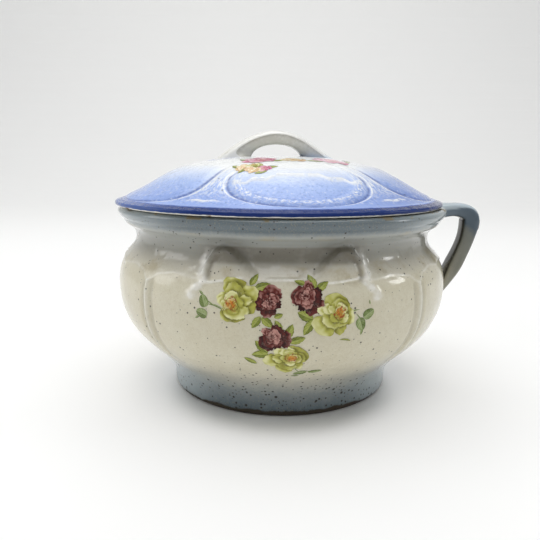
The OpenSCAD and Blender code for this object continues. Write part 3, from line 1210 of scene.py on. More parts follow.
def sprays(pot: PotBody, lid: Lid, grip: PotHandle) -> list[Spray]:
    """The transfers of the pot, the lid and the handle.

    Args:
        pot: the pot they lie on.
        lid: its lid.
        grip: its handle.

    Returns:
        The sprays, not yet built.
    """
    yellow, maroon, pink, coral = Print.YELLOW, Print.MAROON, Print.PINK, Print.CORAL
    green, sage = Print.LEAF, Print.SAGE
    left = [
        *leaves(sage, (-19.0, 81.5, 5.6, 74, 0.1), bend=0.2, teeth=0),
        *leaves(sage, (-20.6, 84, 3.4, 60, 0.1), teeth=0),
        *leaves(sage, (-22.7, 84.6, 3.6, 20, 0.78), (-23.2, 77.6, 3.5, 70, 0.8), blunt=0.45, teeth=0),
        *leaves(sage, (-23.6, 89, 1.7, 50, 0.4), (-24.6, 75, 1.7, 120, 0.4)),
        *leaves(green, (-8.6, 97.6, 4.2, -28, 0.45), (-6.2, 94.2, 5.0, -70, 0.5),
                (-7.6, 74.8, 4.2, 145, 0.5), (-4.6, 75, 4.2, -130, 0.55), (-1.6, 78.8, 2.6, -70, 0.6)),
        Rose((-4.6, 86.6), 8.6, maroon, 20, heart=(0.25, -0.2)),
        Rose((-12.9, 86.6), 12.8, yellow, 0, heart=(-0.42, -0.3)),
    ]
    right = [
        *leaves(sage, (18.6, 79, 5.4, -72, 0.1), bend=-0.2, teeth=0),
        *leaves(sage, (21, 76, 3.6, -140, 0.1), teeth=0),
        *leaves(sage, (23.9, 77.8, 3.8, -60, 0.75), (21.6, 72, 4.0, -160, 0.74), blunt=0.5, teeth=0),
        *leaves(sage, (22, 67.2, 2.0, 170, 0.4), (24.2, 84.4, 1.3, 10, 0.4)),
        *leaves(green, (4.3, 96.6, 3.6, 70, 0.45), (7.6, 97, 4.6, 25, 0.5), (10.4, 94.6, 4.4, -52, 0.5),
                (5.6, 78.8, 4.8, 65, 0.62), (6.5, 72, 5.2, 150, 0.5)),
        *leaves(green, (17.2, 63, 3.6, 80, 0.16), bend=0.15),
        Rose((6.4, 88.4), 9.0, maroon, -15, heart=(-0.3, 0.2)),
        Rose((13.6, 77.6), 12.0, yellow, 40, heart=(0.5, 0.0)),
    ]
    low = [
        *leaves(sage, (4.2, 43, 4.0, -150, 0.09), bend=0.15, teeth=0),
        *leaves(sage, (7.4, 41, 4.4, -100, 0.08), teeth=0),
        *leaves(sage, (5.4, 39.4, 4.2, 110, 0.5), (10.4, 40.4, 4.2, -80, 0.42), blunt=0.8),
        *leaves(sage, (4, 36.6, 2.4, 95, 0.35)),
        *leaves(green, (-1.6, 73, 3.8, 30, 0.5), (1.4, 69.6, 4.8, -20, 0.5), (3.6, 64.4, 4.8, -72, 0.5),
                (-6.2, 59.8, 5.4, 40, 0.5), (-6.8, 54.6, 4.8, 95, 0.6), (-9.8, 49.6, 4.2, 55, 0.42)),
        Rose((-2.6, 65.4), 8.8, maroon, 35, heart=(-0.05, 0.3)),
        Rose((0.8, 50.8), 12.2, yellow, 80, heart=(0.28, -0.3)),
    ]
    crown = [
        *leaves(green, (-37, 49, 5, 60, 0.4), (19, 50, 6, 80, 0.4), (-9, 49, 6, -80, 0.4),
                (52, 54, 8, -75, 0.22), (60, 50, 5, -50, 0.4)),
        Rose((3, 45), 8, coral, 10),
        Rose((-24, 46), 11.5, pink, 0, heart=(0.2, -0.2)),
        Rose((36, 48), 12, pink, 50, heart=(-0.2, -0.2)),
    ]
    sprig = [
        *leaves(green, (-32, 67, 4.6, 60, 0.45), (-13, 66.5, 5.0, -70, 0.45), (-20, 62.5, 5, 20, 0.5),
                (-26, 74, 4.6, 160, 0.45), (-17, 75, 4, 120, 0.45)),
        Rose((-27.5, 67), 5.6, coral, 0),
        Rose((-16.5, 69), 4.8, pink, 60),
        Rose((-22, 71), 5.4, coral, 30),
        Rose((-23, 64), 4.6, yellow, 10),
    ]
    small = [
        *leaves(green, (0.47, 3.4, 3.2, 40, 0.5), (0.42, -3, 3.2, -140, 0.5)),
        Rose((0.44, 0), 4.6, maroon, 10),
    ]
    return [
        Spray("rose_spray_left", "pot", "cream_glaze", pot, left),
        Spray("rose_spray_right", "pot", "cream_glaze", pot, right),
        Spray("rose_spray_low", "pot", "cream_glaze", pot, low),
        Spray("lid_crown_spray", "cover", "blue_glaze", lid, crown),
        Spray("lid_sprig", "cover", "blue_glaze", lid, sprig),
        Spray("grip_rose", "pot", "slate_glaze", grip, small),
    ]


# Finishes

class Net:
    """Lays and joins the nodes of one material or node group."""

    def __init__(self, tree: Tree) -> None:
        """Start on a node tree."""
        self.tree = tree

    def node(self, kind: str, **settings: object) -> Node:
        """Add a node.

        Args:
            kind: its type.
            settings: its properties.

        Returns:
            The node.
        """
        made = self.tree.nodes.new(kind)
        for name, value in settings.items():
            setattr(made, name, value)
        return made

    def put(self, socket: Socket, value: Value | Paint) -> None:
        """Join an output to a socket, or set the socket's own value.

        Args:
            socket: the input.
            value: an output, a number, a colour or a colour's display code.
        """
        value = tint(value) if isinstance(value, str) else value
        if isinstance(value, Socket):
            self.tree.links.new(value, socket)
        else:
            socket.default_value = (*value, 1.0) if isinstance(value, tuple) else value

    def math(self, operation: str, first: Value, *more: Value) -> Socket:
        """Result of an operation, taken from left to right where there are more than two values.

        Args:
            operation: its name.
            first: the first value.
            more: the others, or none, which counts as 0.

        Returns:
            The result.
        """
        for value in more or (0.0,):
            made = self.node("ShaderNodeMath", operation=operation)
            self.put(made.inputs[0], first)
            self.put(made.inputs[1], value)
            first = made.outputs[0]
        return first

    def times(self, *values: Value) -> Socket:
        """Product of values."""
        return self.math("MULTIPLY", *values)

    def plus(self, *values: Value) -> Socket:
        """Sum of values."""
        return self.math("ADD", *values)

    def most(self, *values: Value) -> Socket:
        """Largest of values."""
        return self.math("MAXIMUM", *values)

    def length(self, x: Socket, y: Socket) -> Socket:
        """Length of a flat vector."""
        return self.math("SQRT", self.plus(self.times(x, x), self.times(y, y)))

    def step(self, value: Value, start: float, end: float, low: float = 0.0, high: float = 1.0) -> Socket:
        """Soft step of a value between two limits.

        Args:
            value: what is stepped.
            start: the lower limit.
            end: the upper limit.
            low: result at the lower limit.
            high: result at the upper limit.

        Returns:
            The stepped value.
        """
        made = self.node("ShaderNodeMapRange", interpolation_type="SMOOTHSTEP")
        for i, v in enumerate((value, start, end, low, high)):
            self.put(made.inputs[i], v)
        return made.outputs[0]

    def fall(self, value: Value, start: float, end: float) -> Socket:
        """Soft step down from 1 to 0."""
        return self.step(value, start, end, 1.0, 0.0)

    def window(self, value: Value, a: float, b: float, c: float, d: float) -> Socket:
        """Soft rise from a to b and soft fall from c to d."""
        return self.times(self.step(value, a, b), self.fall(value, c, d))

    def near(self, value: Socket, at: float, width: float) -> Socket:
        """Soft line where a value passes a place."""
        return self.fall(self.math("ABSOLUTE", self.math("SUBTRACT", value, at)), 0.0, width)

    def blend(self, share: Value, a: Paint, b: Paint, kind: str = "MIX") -> Socket:
        """Colour a overlaid by colour b.

        Args:
            share: how much of b shows.
            a: the colour below.
            b: the colour above.
            kind: how they mix.

        Returns:
            The mixed colour.
        """
        made = self.node("ShaderNodeMix", data_type="RGBA", blend_type=kind)
        for i, v in ((0, share), (6, a), (7, b)):
            self.put(made.inputs[i], v)
        return made.outputs[2]

    def ramp(self, value: Value, stops: Stops) -> Socket:
        """Colour ramp.

        Args:
            value: what is looked up.
            stops: places and display codes.

        Returns:
            The colour.
        """
        made = self.node("ShaderNodeValToRGB")
        band = made.color_ramp.elements
        while len(band) < len(stops):
            band.new(0.5)
        for element, (place, code) in zip(band, stops):
            element.position = place
            element.color = (*tint(code), 1.0)
        self.put(made.inputs[0], value)
        return made.outputs[0]

    def cloud(self, vector: Socket, scale: Value, detail: float = 3.0, rough: float = 0.55) -> Socket:
        """Noise over the surface.

        Args:
            vector: the coordinates.
            scale: its pitch.
            detail: how many finer layers it has.
            rough: how strong they are.

        Returns:
            The noise, 0 to 1.
        """
        made = self.node("ShaderNodeTexNoise")
        for name, v in (("Vector", vector), ("Scale", scale), ("Detail", detail), ("Roughness", rough)):
            self.put(made.inputs[name], v)
        return made.outputs[0]

    def patches(self, vector: Socket, scale: float, levels: Sequence[float], detail: float = 3.0,
                rough: float = 0.55) -> Socket:
        """Soft-edged patches: a noise, stepped by start, end and, where given, low and high."""
        return self.step(self.cloud(vector, scale, detail, rough), *levels)

    def field(self, name: str) -> Socket:
        """Numbers of a layer of the piece's own mesh."""
        return self.node("ShaderNodeAttribute", attribute_name=name).outputs["Fac"]

    def place(self) -> tuple[Socket, Socket]:
        """Object coordinates, and their height."""
        here = self.node("ShaderNodeTexCoord").outputs["Object"]
        return here, self.axes(here)[2]

    def axes(self, vector: Socket) -> Sequence[Socket]:
        """Take a vector apart.

        Args:
            vector: the vector.

        Returns:
            Its three parts.
        """
        split = self.node("ShaderNodeSeparateXYZ")
        self.put(split.inputs[0], vector)
        return split.outputs[:]

    def group(self, tree: Tree, **values: Value) -> Node:
        """Place a node group.

        Args:
            tree: the group.
            values: its inputs.

        Returns:
            Its node.
        """
        made = self.node("ShaderNodeGroup", node_tree=tree)
        for name, value in values.items():
            self.put(made.inputs[name], value)
        return made


def new_group(name: str, inputs: Sequence[str], outputs: Sequence[str]) -> tuple[
        Tree, Net, bpy.types.bpy_prop_collection, bpy.types.bpy_prop_collection]:
    """Start a shader node group whose sockets are numbers, apart from Vector.

    Args:
        name: its name.
        inputs: names of its inputs.
        outputs: names of its outputs.

    Returns:
        The group, its net, the values given to it and the sockets that take its results.
    """
    tree = bpy.data.node_groups.new(name, "ShaderNodeTree")
    for way, names in (("INPUT", inputs), ("OUTPUT", outputs)):
        for socket in names:
            kind = "NodeSocketVector" if socket == "Vector" else "NodeSocketFloat"
            tree.interface.new_socket(name=socket, in_out=way, socket_type=kind)
    net = Net(tree)
    return tree, net, net.node("NodeGroupInput").outputs, net.node("NodeGroupOutput").inputs


def new_material(name: str) -> tuple[bpy.types.Material, Net, Node]:
    """Start a material.

    Args:
        name: its name.

    Returns:
        The material, its net and its shader.
    """
    made = bpy.data.materials.new(name)
    made.use_nodes = True
    return made, Net(made.node_tree), made.node_tree.nodes["Principled BSDF"]


class Effects:
    """Node groups that the glazes share."""

    def __init__(self) -> None:
        """Build the groups once."""
        self.pinholes = self.make_pinholes()
        self.skin = self.make_skin()
        self.mottle = self.make_mottle()

    def make_pinholes(self) -> Tree:
        """Dark pits in the glaze, as a mask; Share is how many of them show.

        Returns:
            The node group.
        """
        tree, net, given, out = new_group("glaze_pinholes", ("Vector", "Scale", "Size", "Share"), ("Mask",))
        cells = net.node("ShaderNodeTexVoronoi")
        net.put(cells.inputs["Vector"], given["Vector"])
        net.put(cells.inputs["Scale"], given["Scale"])
        split = net.node("ShaderNodeSeparateColor")
        net.put(split.inputs[0], cells.outputs["Color"])
        size = net.times(given["Size"], net.plus(split.outputs[1], 0.35))
        dot = net.math("SUBTRACT", 1.0, net.math("DIVIDE", cells.outputs["Distance"], size))
        shown = net.math("LESS_THAN", split.outputs[0], given["Share"])
        net.put(out["Mask"], net.times(net.step(dot, 0.0, 0.45), shown))
        return tree

    def make_skin(self) -> Tree:
        """Dimpled skin of a fired glaze: its height, and its roughness.

        Returns:
            The node group.
        """
        tree, net, given, out = new_group(
            "glaze_skin", ("Vector", "Scale", "Gloss"), ("Height", "Roughness"))
        fine = net.cloud(given["Vector"], given["Scale"], 2.0, 0.5)
        broad = net.cloud(given["Vector"], net.times(given["Scale"], 0.22), 2.0, 0.5)
        net.put(out["Height"], net.plus(net.times(fine, 0.45), broad))
        worn = net.patches(given["Vector"], 60.0, (0.45, 0.75, 0.0, 0.14), 4.0, 0.6)
        net.put(out["Roughness"], net.plus(given["Gloss"], worn))
        return tree

    def make_mottle(self) -> Tree:
        """Cloudy and grainy variation of a sprayed colour, centred on 0.

        Returns:
            The node group.
        """
        tree, net, given, out = new_group("glaze_mottle", ("Vector", "Cloud", "Grain"), ("Value",))
        cloud = net.cloud(given["Vector"], given["Cloud"], 4.0, 0.6)
        grain = net.cloud(given["Vector"], given["Grain"], 2.0, 0.6)
        both = net.plus(net.times(cloud, 0.6), net.times(grain, 0.4))
        net.put(out["Value"], net.math("SUBTRACT", both, 0.5))
        return tree

    def mottled(self, net: Net, here: Socket, cloud: float, grain: float) -> Socket:
        """Place the mottle in a material, by the pitch of its clouds and grains."""
        return net.group(self.mottle, Vector=here, Cloud=cloud, Grain=grain).outputs[0]

    def pitted(self, net: Net, here: Socket, scale: float, size: Value, share: Value) -> Socket:
        """Place the pinholes in a material, by their pitch, their size and how many show."""
        return net.group(self.pinholes, Vector=here, Scale=scale, Size=size, Share=share).outputs[0]


@dataclass(frozen=True)
class Glaze:
    """A fired glaze: its name, gloss and dimples. Each kind lays its own colours."""

    name: str
    gloss: float = 0.08
    dimple: float = 520.0
    relief: float = 0.12
    shine: float = 0.5
    pit_depth: float = 0.8
    pit_rough: float = 0.5

    def colour(self, net: Net, effects: Effects) -> tuple[Socket, Socket]:
        """Colour of the glaze and the mask of its bare or pitted places."""
        raise NotImplementedError

    def material(self, effects: Effects) -> bpy.types.Material:
        """Make the material.

        Args:
            effects: the shared node groups.

        Returns:
            The material, ready to be put on a piece.
        """
        made, net, shader = new_material(self.name)
        colour, pits = self.colour(net, effects)
        skin = net.group(effects.skin, Vector=net.place()[0], Scale=self.dimple, Gloss=self.gloss).outputs
        press = net.node("ShaderNodeBump")
        press.inputs["Strength"].default_value = self.relief
        press.inputs["Distance"].default_value = MM
        sunk = net.times(pits, self.pit_depth)
        net.put(press.inputs["Height"], net.math("SUBTRACT", skin["Height"], sunk))
        net.put(shader.inputs["Base Color"], colour)
        net.put(shader.inputs["Specular IOR Level"], self.shine)
        net.put(shader.inputs["Roughness"], net.plus(skin["Roughness"], net.times(pits, self.pit_rough)))
        net.put(shader.inputs["Normal"], press.outputs[0])
        return made

    def dress(self, piece: Thing, effects: Effects) -> None:
        """Put the glaze on a piece."""
        piece.data.materials.append(bpy.data.materials.get(self.name) or self.material(effects))


@dataclass(frozen=True)
class CreamGlaze(Glaze):
    """Oatmeal cream of the pot, sprayed blue-grey at foot and collar, with painted shade in the neck's
    hollow and under the rim. Bands are heights in millimetres.
    """

    cream: str = "e4dfca"
    warm: str = "d6ceb3"
    tan: str = "b3a684"
    dirt_and_shade: str = "68604e"
    clay: str = "34291a"
    chip: str = "6f613e"
    white: str = "f8f6ee"
    # pale is painted light on the sides of the foot and the collar.
    pale: str = "c0ccd0"
    pit: str = "2b261e"
    top: float = 131.6
    # The bands from about 102 to 114 mm are partly grey spray and partly painted shade of the neck's hollow;
    # the two from 124 mm up are painted shade of the lid over the rim.
    bands: Stops = (
        (0.0, "4f5c64"), (6.0, "6f7d85"), (16.0, "959d9f"), (25.0, "bfbfb6"), (36.0, "e2dcc8"),
        (94.0, "e2dcc7"), (102.0, "cbc6b6"), (106.0, "b3b0a4"), (109.0, "a3a299"), (114.0, "9a9b95"),
        (117.0, "a3a6a2"), (121.0, "a8aca9"), (124.0, "6b777e"), (131.6, "667277"))

    def sprayed(self, net: Net, effects: Effects, outside: Socket, aside: Socket) -> Socket:
        """Cream with the sprayed bands, with painted light making the sides of the foot and the collar
        paler.

        Args:
            net: the material's net.
            effects: the shared node groups.
            outside: mask of the pot's outside.
            aside: mask of the pot's sides.

        Returns:
            The colour.
        """
        here, z = net.place()
        off = net.math("ABSOLUTE", net.axes(here)[0])
        mottle = effects.mottled(net, here, 34.0, 420.0)
        cream = net.blend(net.step(mottle, -0.3, 0.3), self.warm, self.cream)
        drift = net.plus(z, net.times(mottle, net.step(z, 0.04, 0.1, 0.016, 0.003)))
        bands = [(height / self.top, code) for height, code in self.bands]
        spray = net.ramp(net.math("DIVIDE", drift, self.top * MM), bands)
        # Painted light: the sides of the collar and of the foot are blended towards a paler colour.
        collar = net.times(net.step(off, 0.05, 0.112, 0.0, 0.5), net.step(z, 0.1205, 0.124))
        painted_side_light = net.most(net.times(aside, net.step(z, 0.02, 0.03, 0.9, 0.0)), collar)
        base = net.blend(net.window(z, 0.03, 0.044, 0.09, 0.1), net.blend(painted_side_light, spray, self.pale), cream)
        base = net.blend(outside, cream, base)
        return net.blend(net.patches(here, 1100.0, (0.52, 0.72, 0.0, 0.3), 2.0, 0.7), base, self.tan)

    def colour(self, net: Net, effects: Effects) -> tuple[Socket, Socket]:
        """Sprayed cream, ridges white from thin glaze and painted highlight, creases and hollows dark from
        dirt and painted shade, pinholes, and bare clay at the base and the rim.

        Args:
            net: the material's net.
            effects: the shared node groups.

        Returns:
            The colour and the mask of bare or pitted places.
        """
        here, z = net.place()
        outside = net.field("outside")
        aside = net.step(net.math("ABSOLUTE", net.axes(here)[0]), 0.035, 0.078)
        base = self.sprayed(net, effects, outside, aside)
        cove = net.times(net.window(z, 0.09, 0.098, 0.102, 0.108), outside)
        stain = net.patches(here, 70.0, (0.48, 0.66, 0.0, 0.6), 5.0, 0.65)
        base = net.blend(net.times(cove, stain), base, self.tan)
        # Ridges whitened: thin glaze in part, painted highlight in part.
        thin = net.times(net.field("proud"), net.patches(here, 300.0, (0.3, 0.6, 0.5, 1.0)), 0.85)
        base = net.blend(thin, base, self.white)
        # Creases, grooves and the neck's hollow darkened: partly dirt, partly painted shade.
        creases = net.times(net.field("hollow"), net.patches(here, 120.0, (0.25, 0.6, 0.5, 0.8)))
        base = net.blend(creases, base, self.dirt_and_shade)
        band = net.times(net.window(z, 0.1185, 0.1195, 0.1215, 0.1225), outside)
        smears = net.patches(here, 16.0, (0.46, 0.6, 0.0, 0.55), 4.0)
        base = net.blend(net.times(band, smears), base, self.tan)
        ragged = net.times(net.cloud(here, 110.0, 5.0, 0.65), 0.0046)
        bare = net.fall(net.plus(z, ragged, net.times(aside, 0.0024)), 0.0054, 0.0064)
        base = net.blend(bare, base, self.clay)
        chips = net.times(net.step(z, 0.1299, 0.1303), net.patches(here, 60.0, (0.57, 0.6), 5.0, 0.6))
        base = net.blend(net.times(chips, outside, 0.8), base, self.chip)
        share = net.plus(net.step(z, 0.014, 0.05, 0.55, 0.18), net.step(z, 0.1, 0.12, 0.0, 0.2))
        pits = effects.pitted(net, here, 430.0, net.step(z, 0.016, 0.045, 0.36, 0.27), share)
        sores = effects.pitted(net, here, 185.0, 0.2, net.step(z, 0.01, 0.034, 0.9, 0.0))
        pits = net.most(pits, sores)
        return net.blend(net.times(pits, 0.92), base, self.pit), net.most(pits, bare, chips)


@dataclass(frozen=True)
class BlueGlaze(Glaze):
    """Cobalt of the lid's edge, fading through blue to white. Bands are shares of the lid's radius."""

    mid: str = "3a58a8"
    side: str = "5674bb"
    blue: str = "99b1e9"
    white: str = "f4f6f6"
    pooled_glaze_and_shade: str = "4a62a4"
    bare: str = "efece3"
    clay: str = "7c6038"
    under: str = "e6e0cf"
    pit: str = "3b3f55"
    bands: Stops = (
        (0.0, "f4f6f6"), (0.57, "f4f6f6"), (0.67, "d6e2fa"), (0.76, "acc3f3"), (0.86, "99b1e9"),
        (0.948, "99b1e9"), (0.956, "3a58a8"), (0.963, "062a6e"), (1.0, "062a6e"))

    def sprayed(self, net: Net, effects: Effects, reach: Socket) -> Socket:
        """Rings of blue, with painted light making the left end of the edge bluer and painted shade making
        the right panel deeper.

        Args:
            net: the material's net.
            effects: the shared node groups.
            reach: share of the lid's radius.

        Returns:
            The colour.
        """
        here, _ = net.place()
        x = net.axes(here)[0]
        mottle = effects.mottled(net, here, 36.0, 800.0)
        drift = net.plus(reach, net.times(mottle, net.step(reach, 0.8, 0.97, 0.16, 0.012)))
        # Painted light: the left end of the edge is blended towards a paler blue.
        left = net.times(net.step(x, -0.112, -0.045, 0.8, 0.0), net.step(reach, 0.945, 0.96))
        base = net.blend(left, net.ramp(drift, self.bands), self.side)
        # Painted shade: the right panel is blended towards a deeper blue.
        right = net.times(net.step(x, 0.03, 0.09, 0.0, 0.42), net.fall(reach, 0.935, 0.95))
        return net.blend(right, base, self.mid)

    def lined(self, net: Net, base: Socket, reach: Socket) -> Socket:
        """White on ridges and in strokes between the panels, partly thin glaze and partly painted highlight,
        and dark blue in the creases, partly pooled glaze and partly painted shade.

        Args:
            net: the material's net.
            base: the colour so far.
            reach: share of the lid's radius.

        Returns:
            The colour with its lines.
        """
        here, _ = net.place()
        front, side, out = (net.field(n) for n in ("front_place", "side_place", "bracket_place"))
        strokes = net.node("ShaderNodeCombineXYZ")
        for i, v in enumerate((net.times(side, 42.0), net.times(front, 26.0), net.times(reach, 9.0))):
            net.put(strokes.inputs[i], v)
        # White strokes between the panels and along the front panel's rim: partly glaze streaks, partly
        # painted highlight.
        gaps = net.times(net.step(side, 1.0, 1.05), net.step(front, 0.98, 1.03), net.fall(reach, 0.72, 0.9))
        rim = net.times(net.near(front, 0.87, 0.12), net.fall(reach, 0.94, 0.96))
        brush = net.patches(strokes.outputs[0], 1.0, (0.46, 0.6), 4.0, 0.6)
        base = net.blend(net.times(net.most(gaps, rim), brush, 0.85), base, self.white)
        # White lines on the bracket, the panels' edges and the small wavy ridge: thin glaze and painted
        # highlight.
        bracket = net.times(net.near(out, 0.0, 3.2), net.fall(front, 0.88, 0.97))
        lines = net.most(
            bracket, net.near(side, 1.055, 0.022), net.near(front, 1.05, 0.025), net.field("proud"))
        flecks = net.patches(here, 260.0, (0.3, 0.5, 0.2, 1.0), 3.0, 0.6)
        base = net.blend(net.times(lines, net.fall(reach, 0.9, 0.955), flecks, 0.9), base, self.white)
        # Creases darkened towards deep blue: pooled glaze and painted shade.
        creases = net.most(net.near(front, 1.0, 0.035), net.near(side, 1.015, 0.024))
        uneven = net.patches(here, 60.0, (0.3, 0.55, 0.25, 0.85))
        creases = net.times(creases, uneven, net.step(reach, 0.55, 0.68))
        return net.blend(creases, base, self.pooled_glaze_and_shade)

    def colour(self, net: Net, effects: Effects) -> tuple[Socket, Socket]:
        """Sprayed and lined blue with painted shade and highlight of its dimples, bluer at the handle's feet
        from pooled glaze and painted shadow, and a chipped white line below.

        Args:
            net: the material's net.
            effects: the shared node groups.

        Returns:
            The colour and the mask of bare or pitted places.
        """
        here, z = net.place()
        reach = net.field("reach")
        base = self.lined(net, self.sprayed(net, effects, reach), reach)
        # Dark and white flecks in the blue: painted shade and painted highlight of the glaze's dimples.
        grain = net.cloud(here, 480.0, 2.0, 0.5)
        blue = net.window(reach, 0.62, 0.8, 0.91, 0.935)
        base = net.blend(net.times(blue, net.step(grain, 0.55, 0.68, 0.0, 0.26)), base, self.pooled_glaze_and_shade)
        base = net.blend(net.times(blue, net.step(grain, 0.3, 0.43, 0.3, 0.0)), base, self.white)
        # Bluer round the feet of the lid's handle: pooled glaze and painted shadow.
        base = net.blend(net.times(net.field("pooled_glaze_and_shade"), 0.85), base, self.blue)
        low = net.plus(z, net.times(net.cloud(here, 160.0, 4.0, 0.6), 0.0012))
        base = net.blend(net.fall(low, 0.1334, 0.1337), base, self.bare)
        chips = net.times(net.fall(low, 0.1333, 0.1340), net.patches(here, 38.0, (0.6, 0.63), 5.0, 0.6))
        base = net.blend(chips, base, self.clay)
        base = net.blend(net.fall(net.field("outside"), 0.2, 0.4), base, self.under)
        pits = effects.pitted(net, here, 300.0, 0.2, 0.09)
        return net.blend(net.times(pits, 0.5), base, self.pit), net.most(pits, chips)


@dataclass(frozen=True)
class SlateGlaze(Glaze):
    """Slate of the pot's handle, palest on top, creamy at its foot. Bands are shares of its length."""

    sides: Stops = (
        (0.0, "8b969b"), (0.1, "667682"), (0.3, "505f6c"), (0.46, "4b5a65"), (0.54, "70736c"),
        (0.8, "848376"), (1.0, "b4b09f"))
    face: Stops = (
        (0.0, "b0bcc1"), (0.26, "b6c4cd"), (0.38, "61737f"), (0.52, "6c7476"), (0.64, "a8a797"),
        (1.0, "d3cfbc"))
    shade: str = "2c291f"
    worn: str = "dcdcd5"
    pit: str = "37332b"

    def colour(self, net: Net, effects: Effects) -> tuple[Socket, Socket]:
        """Colours along the handle, with painted shade darkening the underside, worn pale places and
        pinholes.

        Args:
            net: the material's net.
            effects: the shared node groups.

        Returns:
            The colour and the mask of pitted places.
        """
        here, _ = net.place()
        mottle = effects.mottled(net, here, 60.0, 600.0)
        along = net.plus(net.field("along"), net.times(mottle, 0.12))
        base = net.blend(net.field("over"), net.ramp(along, self.sides), net.ramp(along, self.face))
        # Painted shade: the underside of the strap is darkened.
        base = net.blend(net.times(net.field("under"), 0.95), base, self.shade)
        base = net.blend(net.step(mottle, 0.1, 0.24, 0.0, 0.35), base, self.worn)
        pits = effects.pitted(net, here, 260.0, 0.15, 0.3)
        return net.blend(net.times(pits, 0.8), base, self.pit), pits


@dataclass(frozen=True)
class WhiteGlaze(Glaze):
    """White of the lid's handle, streaked, with a blue foot. Bands run from its right foot to its left."""

    bands: Stops = (
        (0.0, "a5bed8"), (0.06, "b0c6dd"), (0.14, "d3dee8"), (0.22, "ecece8"), (0.7, "efeee8"),
        (0.94, "f0efe8"), (1.0, "d9e2ec"))
    shade: str = "aca994"
    seam: str = "8a8672"
    stain: str = "b3ad9c"
    pit: str = "4a453b"

    def colour(self, net: Net, effects: Effects) -> tuple[Socket, Socket]:
        """White, with painted shade greying it below the seam, blue towards the right foot, with stains and
        pinholes.

        Args:
            net: the material's net.
            effects: the shared node groups.

        Returns:
            The colour and the mask of pitted places.
        """
        here, _ = net.place()
        mottle = effects.mottled(net, here, 46.0, 560.0)
        base = net.ramp(net.plus(net.field("along"), net.times(mottle, 0.08)), self.bands)
        # Painted shade: below the seam the handle is greyed.
        shade = net.times(net.field("under"), net.step(mottle, -0.2, 0.1, 0.2, 0.5))
        base = net.blend(shade, base, self.shade)
        line = net.times(net.field("seam"), net.step(mottle, -0.15, 0.12, 0.35, 0.75))
        base = net.blend(line, base, self.seam)
        base = net.blend(net.patches(here, 75.0, (0.6, 0.72, 0.0, 0.35), 5.0, 0.65), base, self.stain)
        pits = effects.pitted(net, here, 250.0, 0.13, 0.15)
        return net.blend(net.times(pits, 0.7), base, self.pit), pits


@dataclass(frozen=True)
class PrintGlaze(Glaze):
    """Fired transfer under the same clear glaze."""

    worn: str = "e6dfca"
    dark: str = "3a3020"
    pit: str = "2f2a22"

    def colour(self, net: Net, effects: Effects) -> tuple[Socket, Socket]:
        """The printed ink, worn thin in places and pitted as the glaze is.

        Args:
            net: the material's net.
            effects: the shared node groups.

        Returns:
            The colour and the mask of pitted places.
        """
        here, _ = net.place()
        ink = net.node("ShaderNodeAttribute", attribute_name="print").outputs["Color"]
        mottle = effects.mottled(net, here, 160.0, 1400.0)
        base = net.blend(net.step(mottle, 0.02, 0.3, 0.0, 0.4), ink, self.worn)
        base = net.blend(net.step(mottle, -0.3, -0.04, 0.3, 0.0), base, self.dark, "MULTIPLY")
        pits = effects.pitted(net, here, 230.0, 0.14, 0.08)
        return net.blend(net.times(pits, 0.8), base, self.pit), pits


# Studio

def seen_rays(net: Net) -> Socket:
    """Mask of the rays that see the background: from the camera, from gloss and through glass."""
    path = net.node("ShaderNodeLightPath").outputs
    return net.most(path["Is Camera Ray"], path["Is Glossy Ray"], path["Is Transmission Ray"])


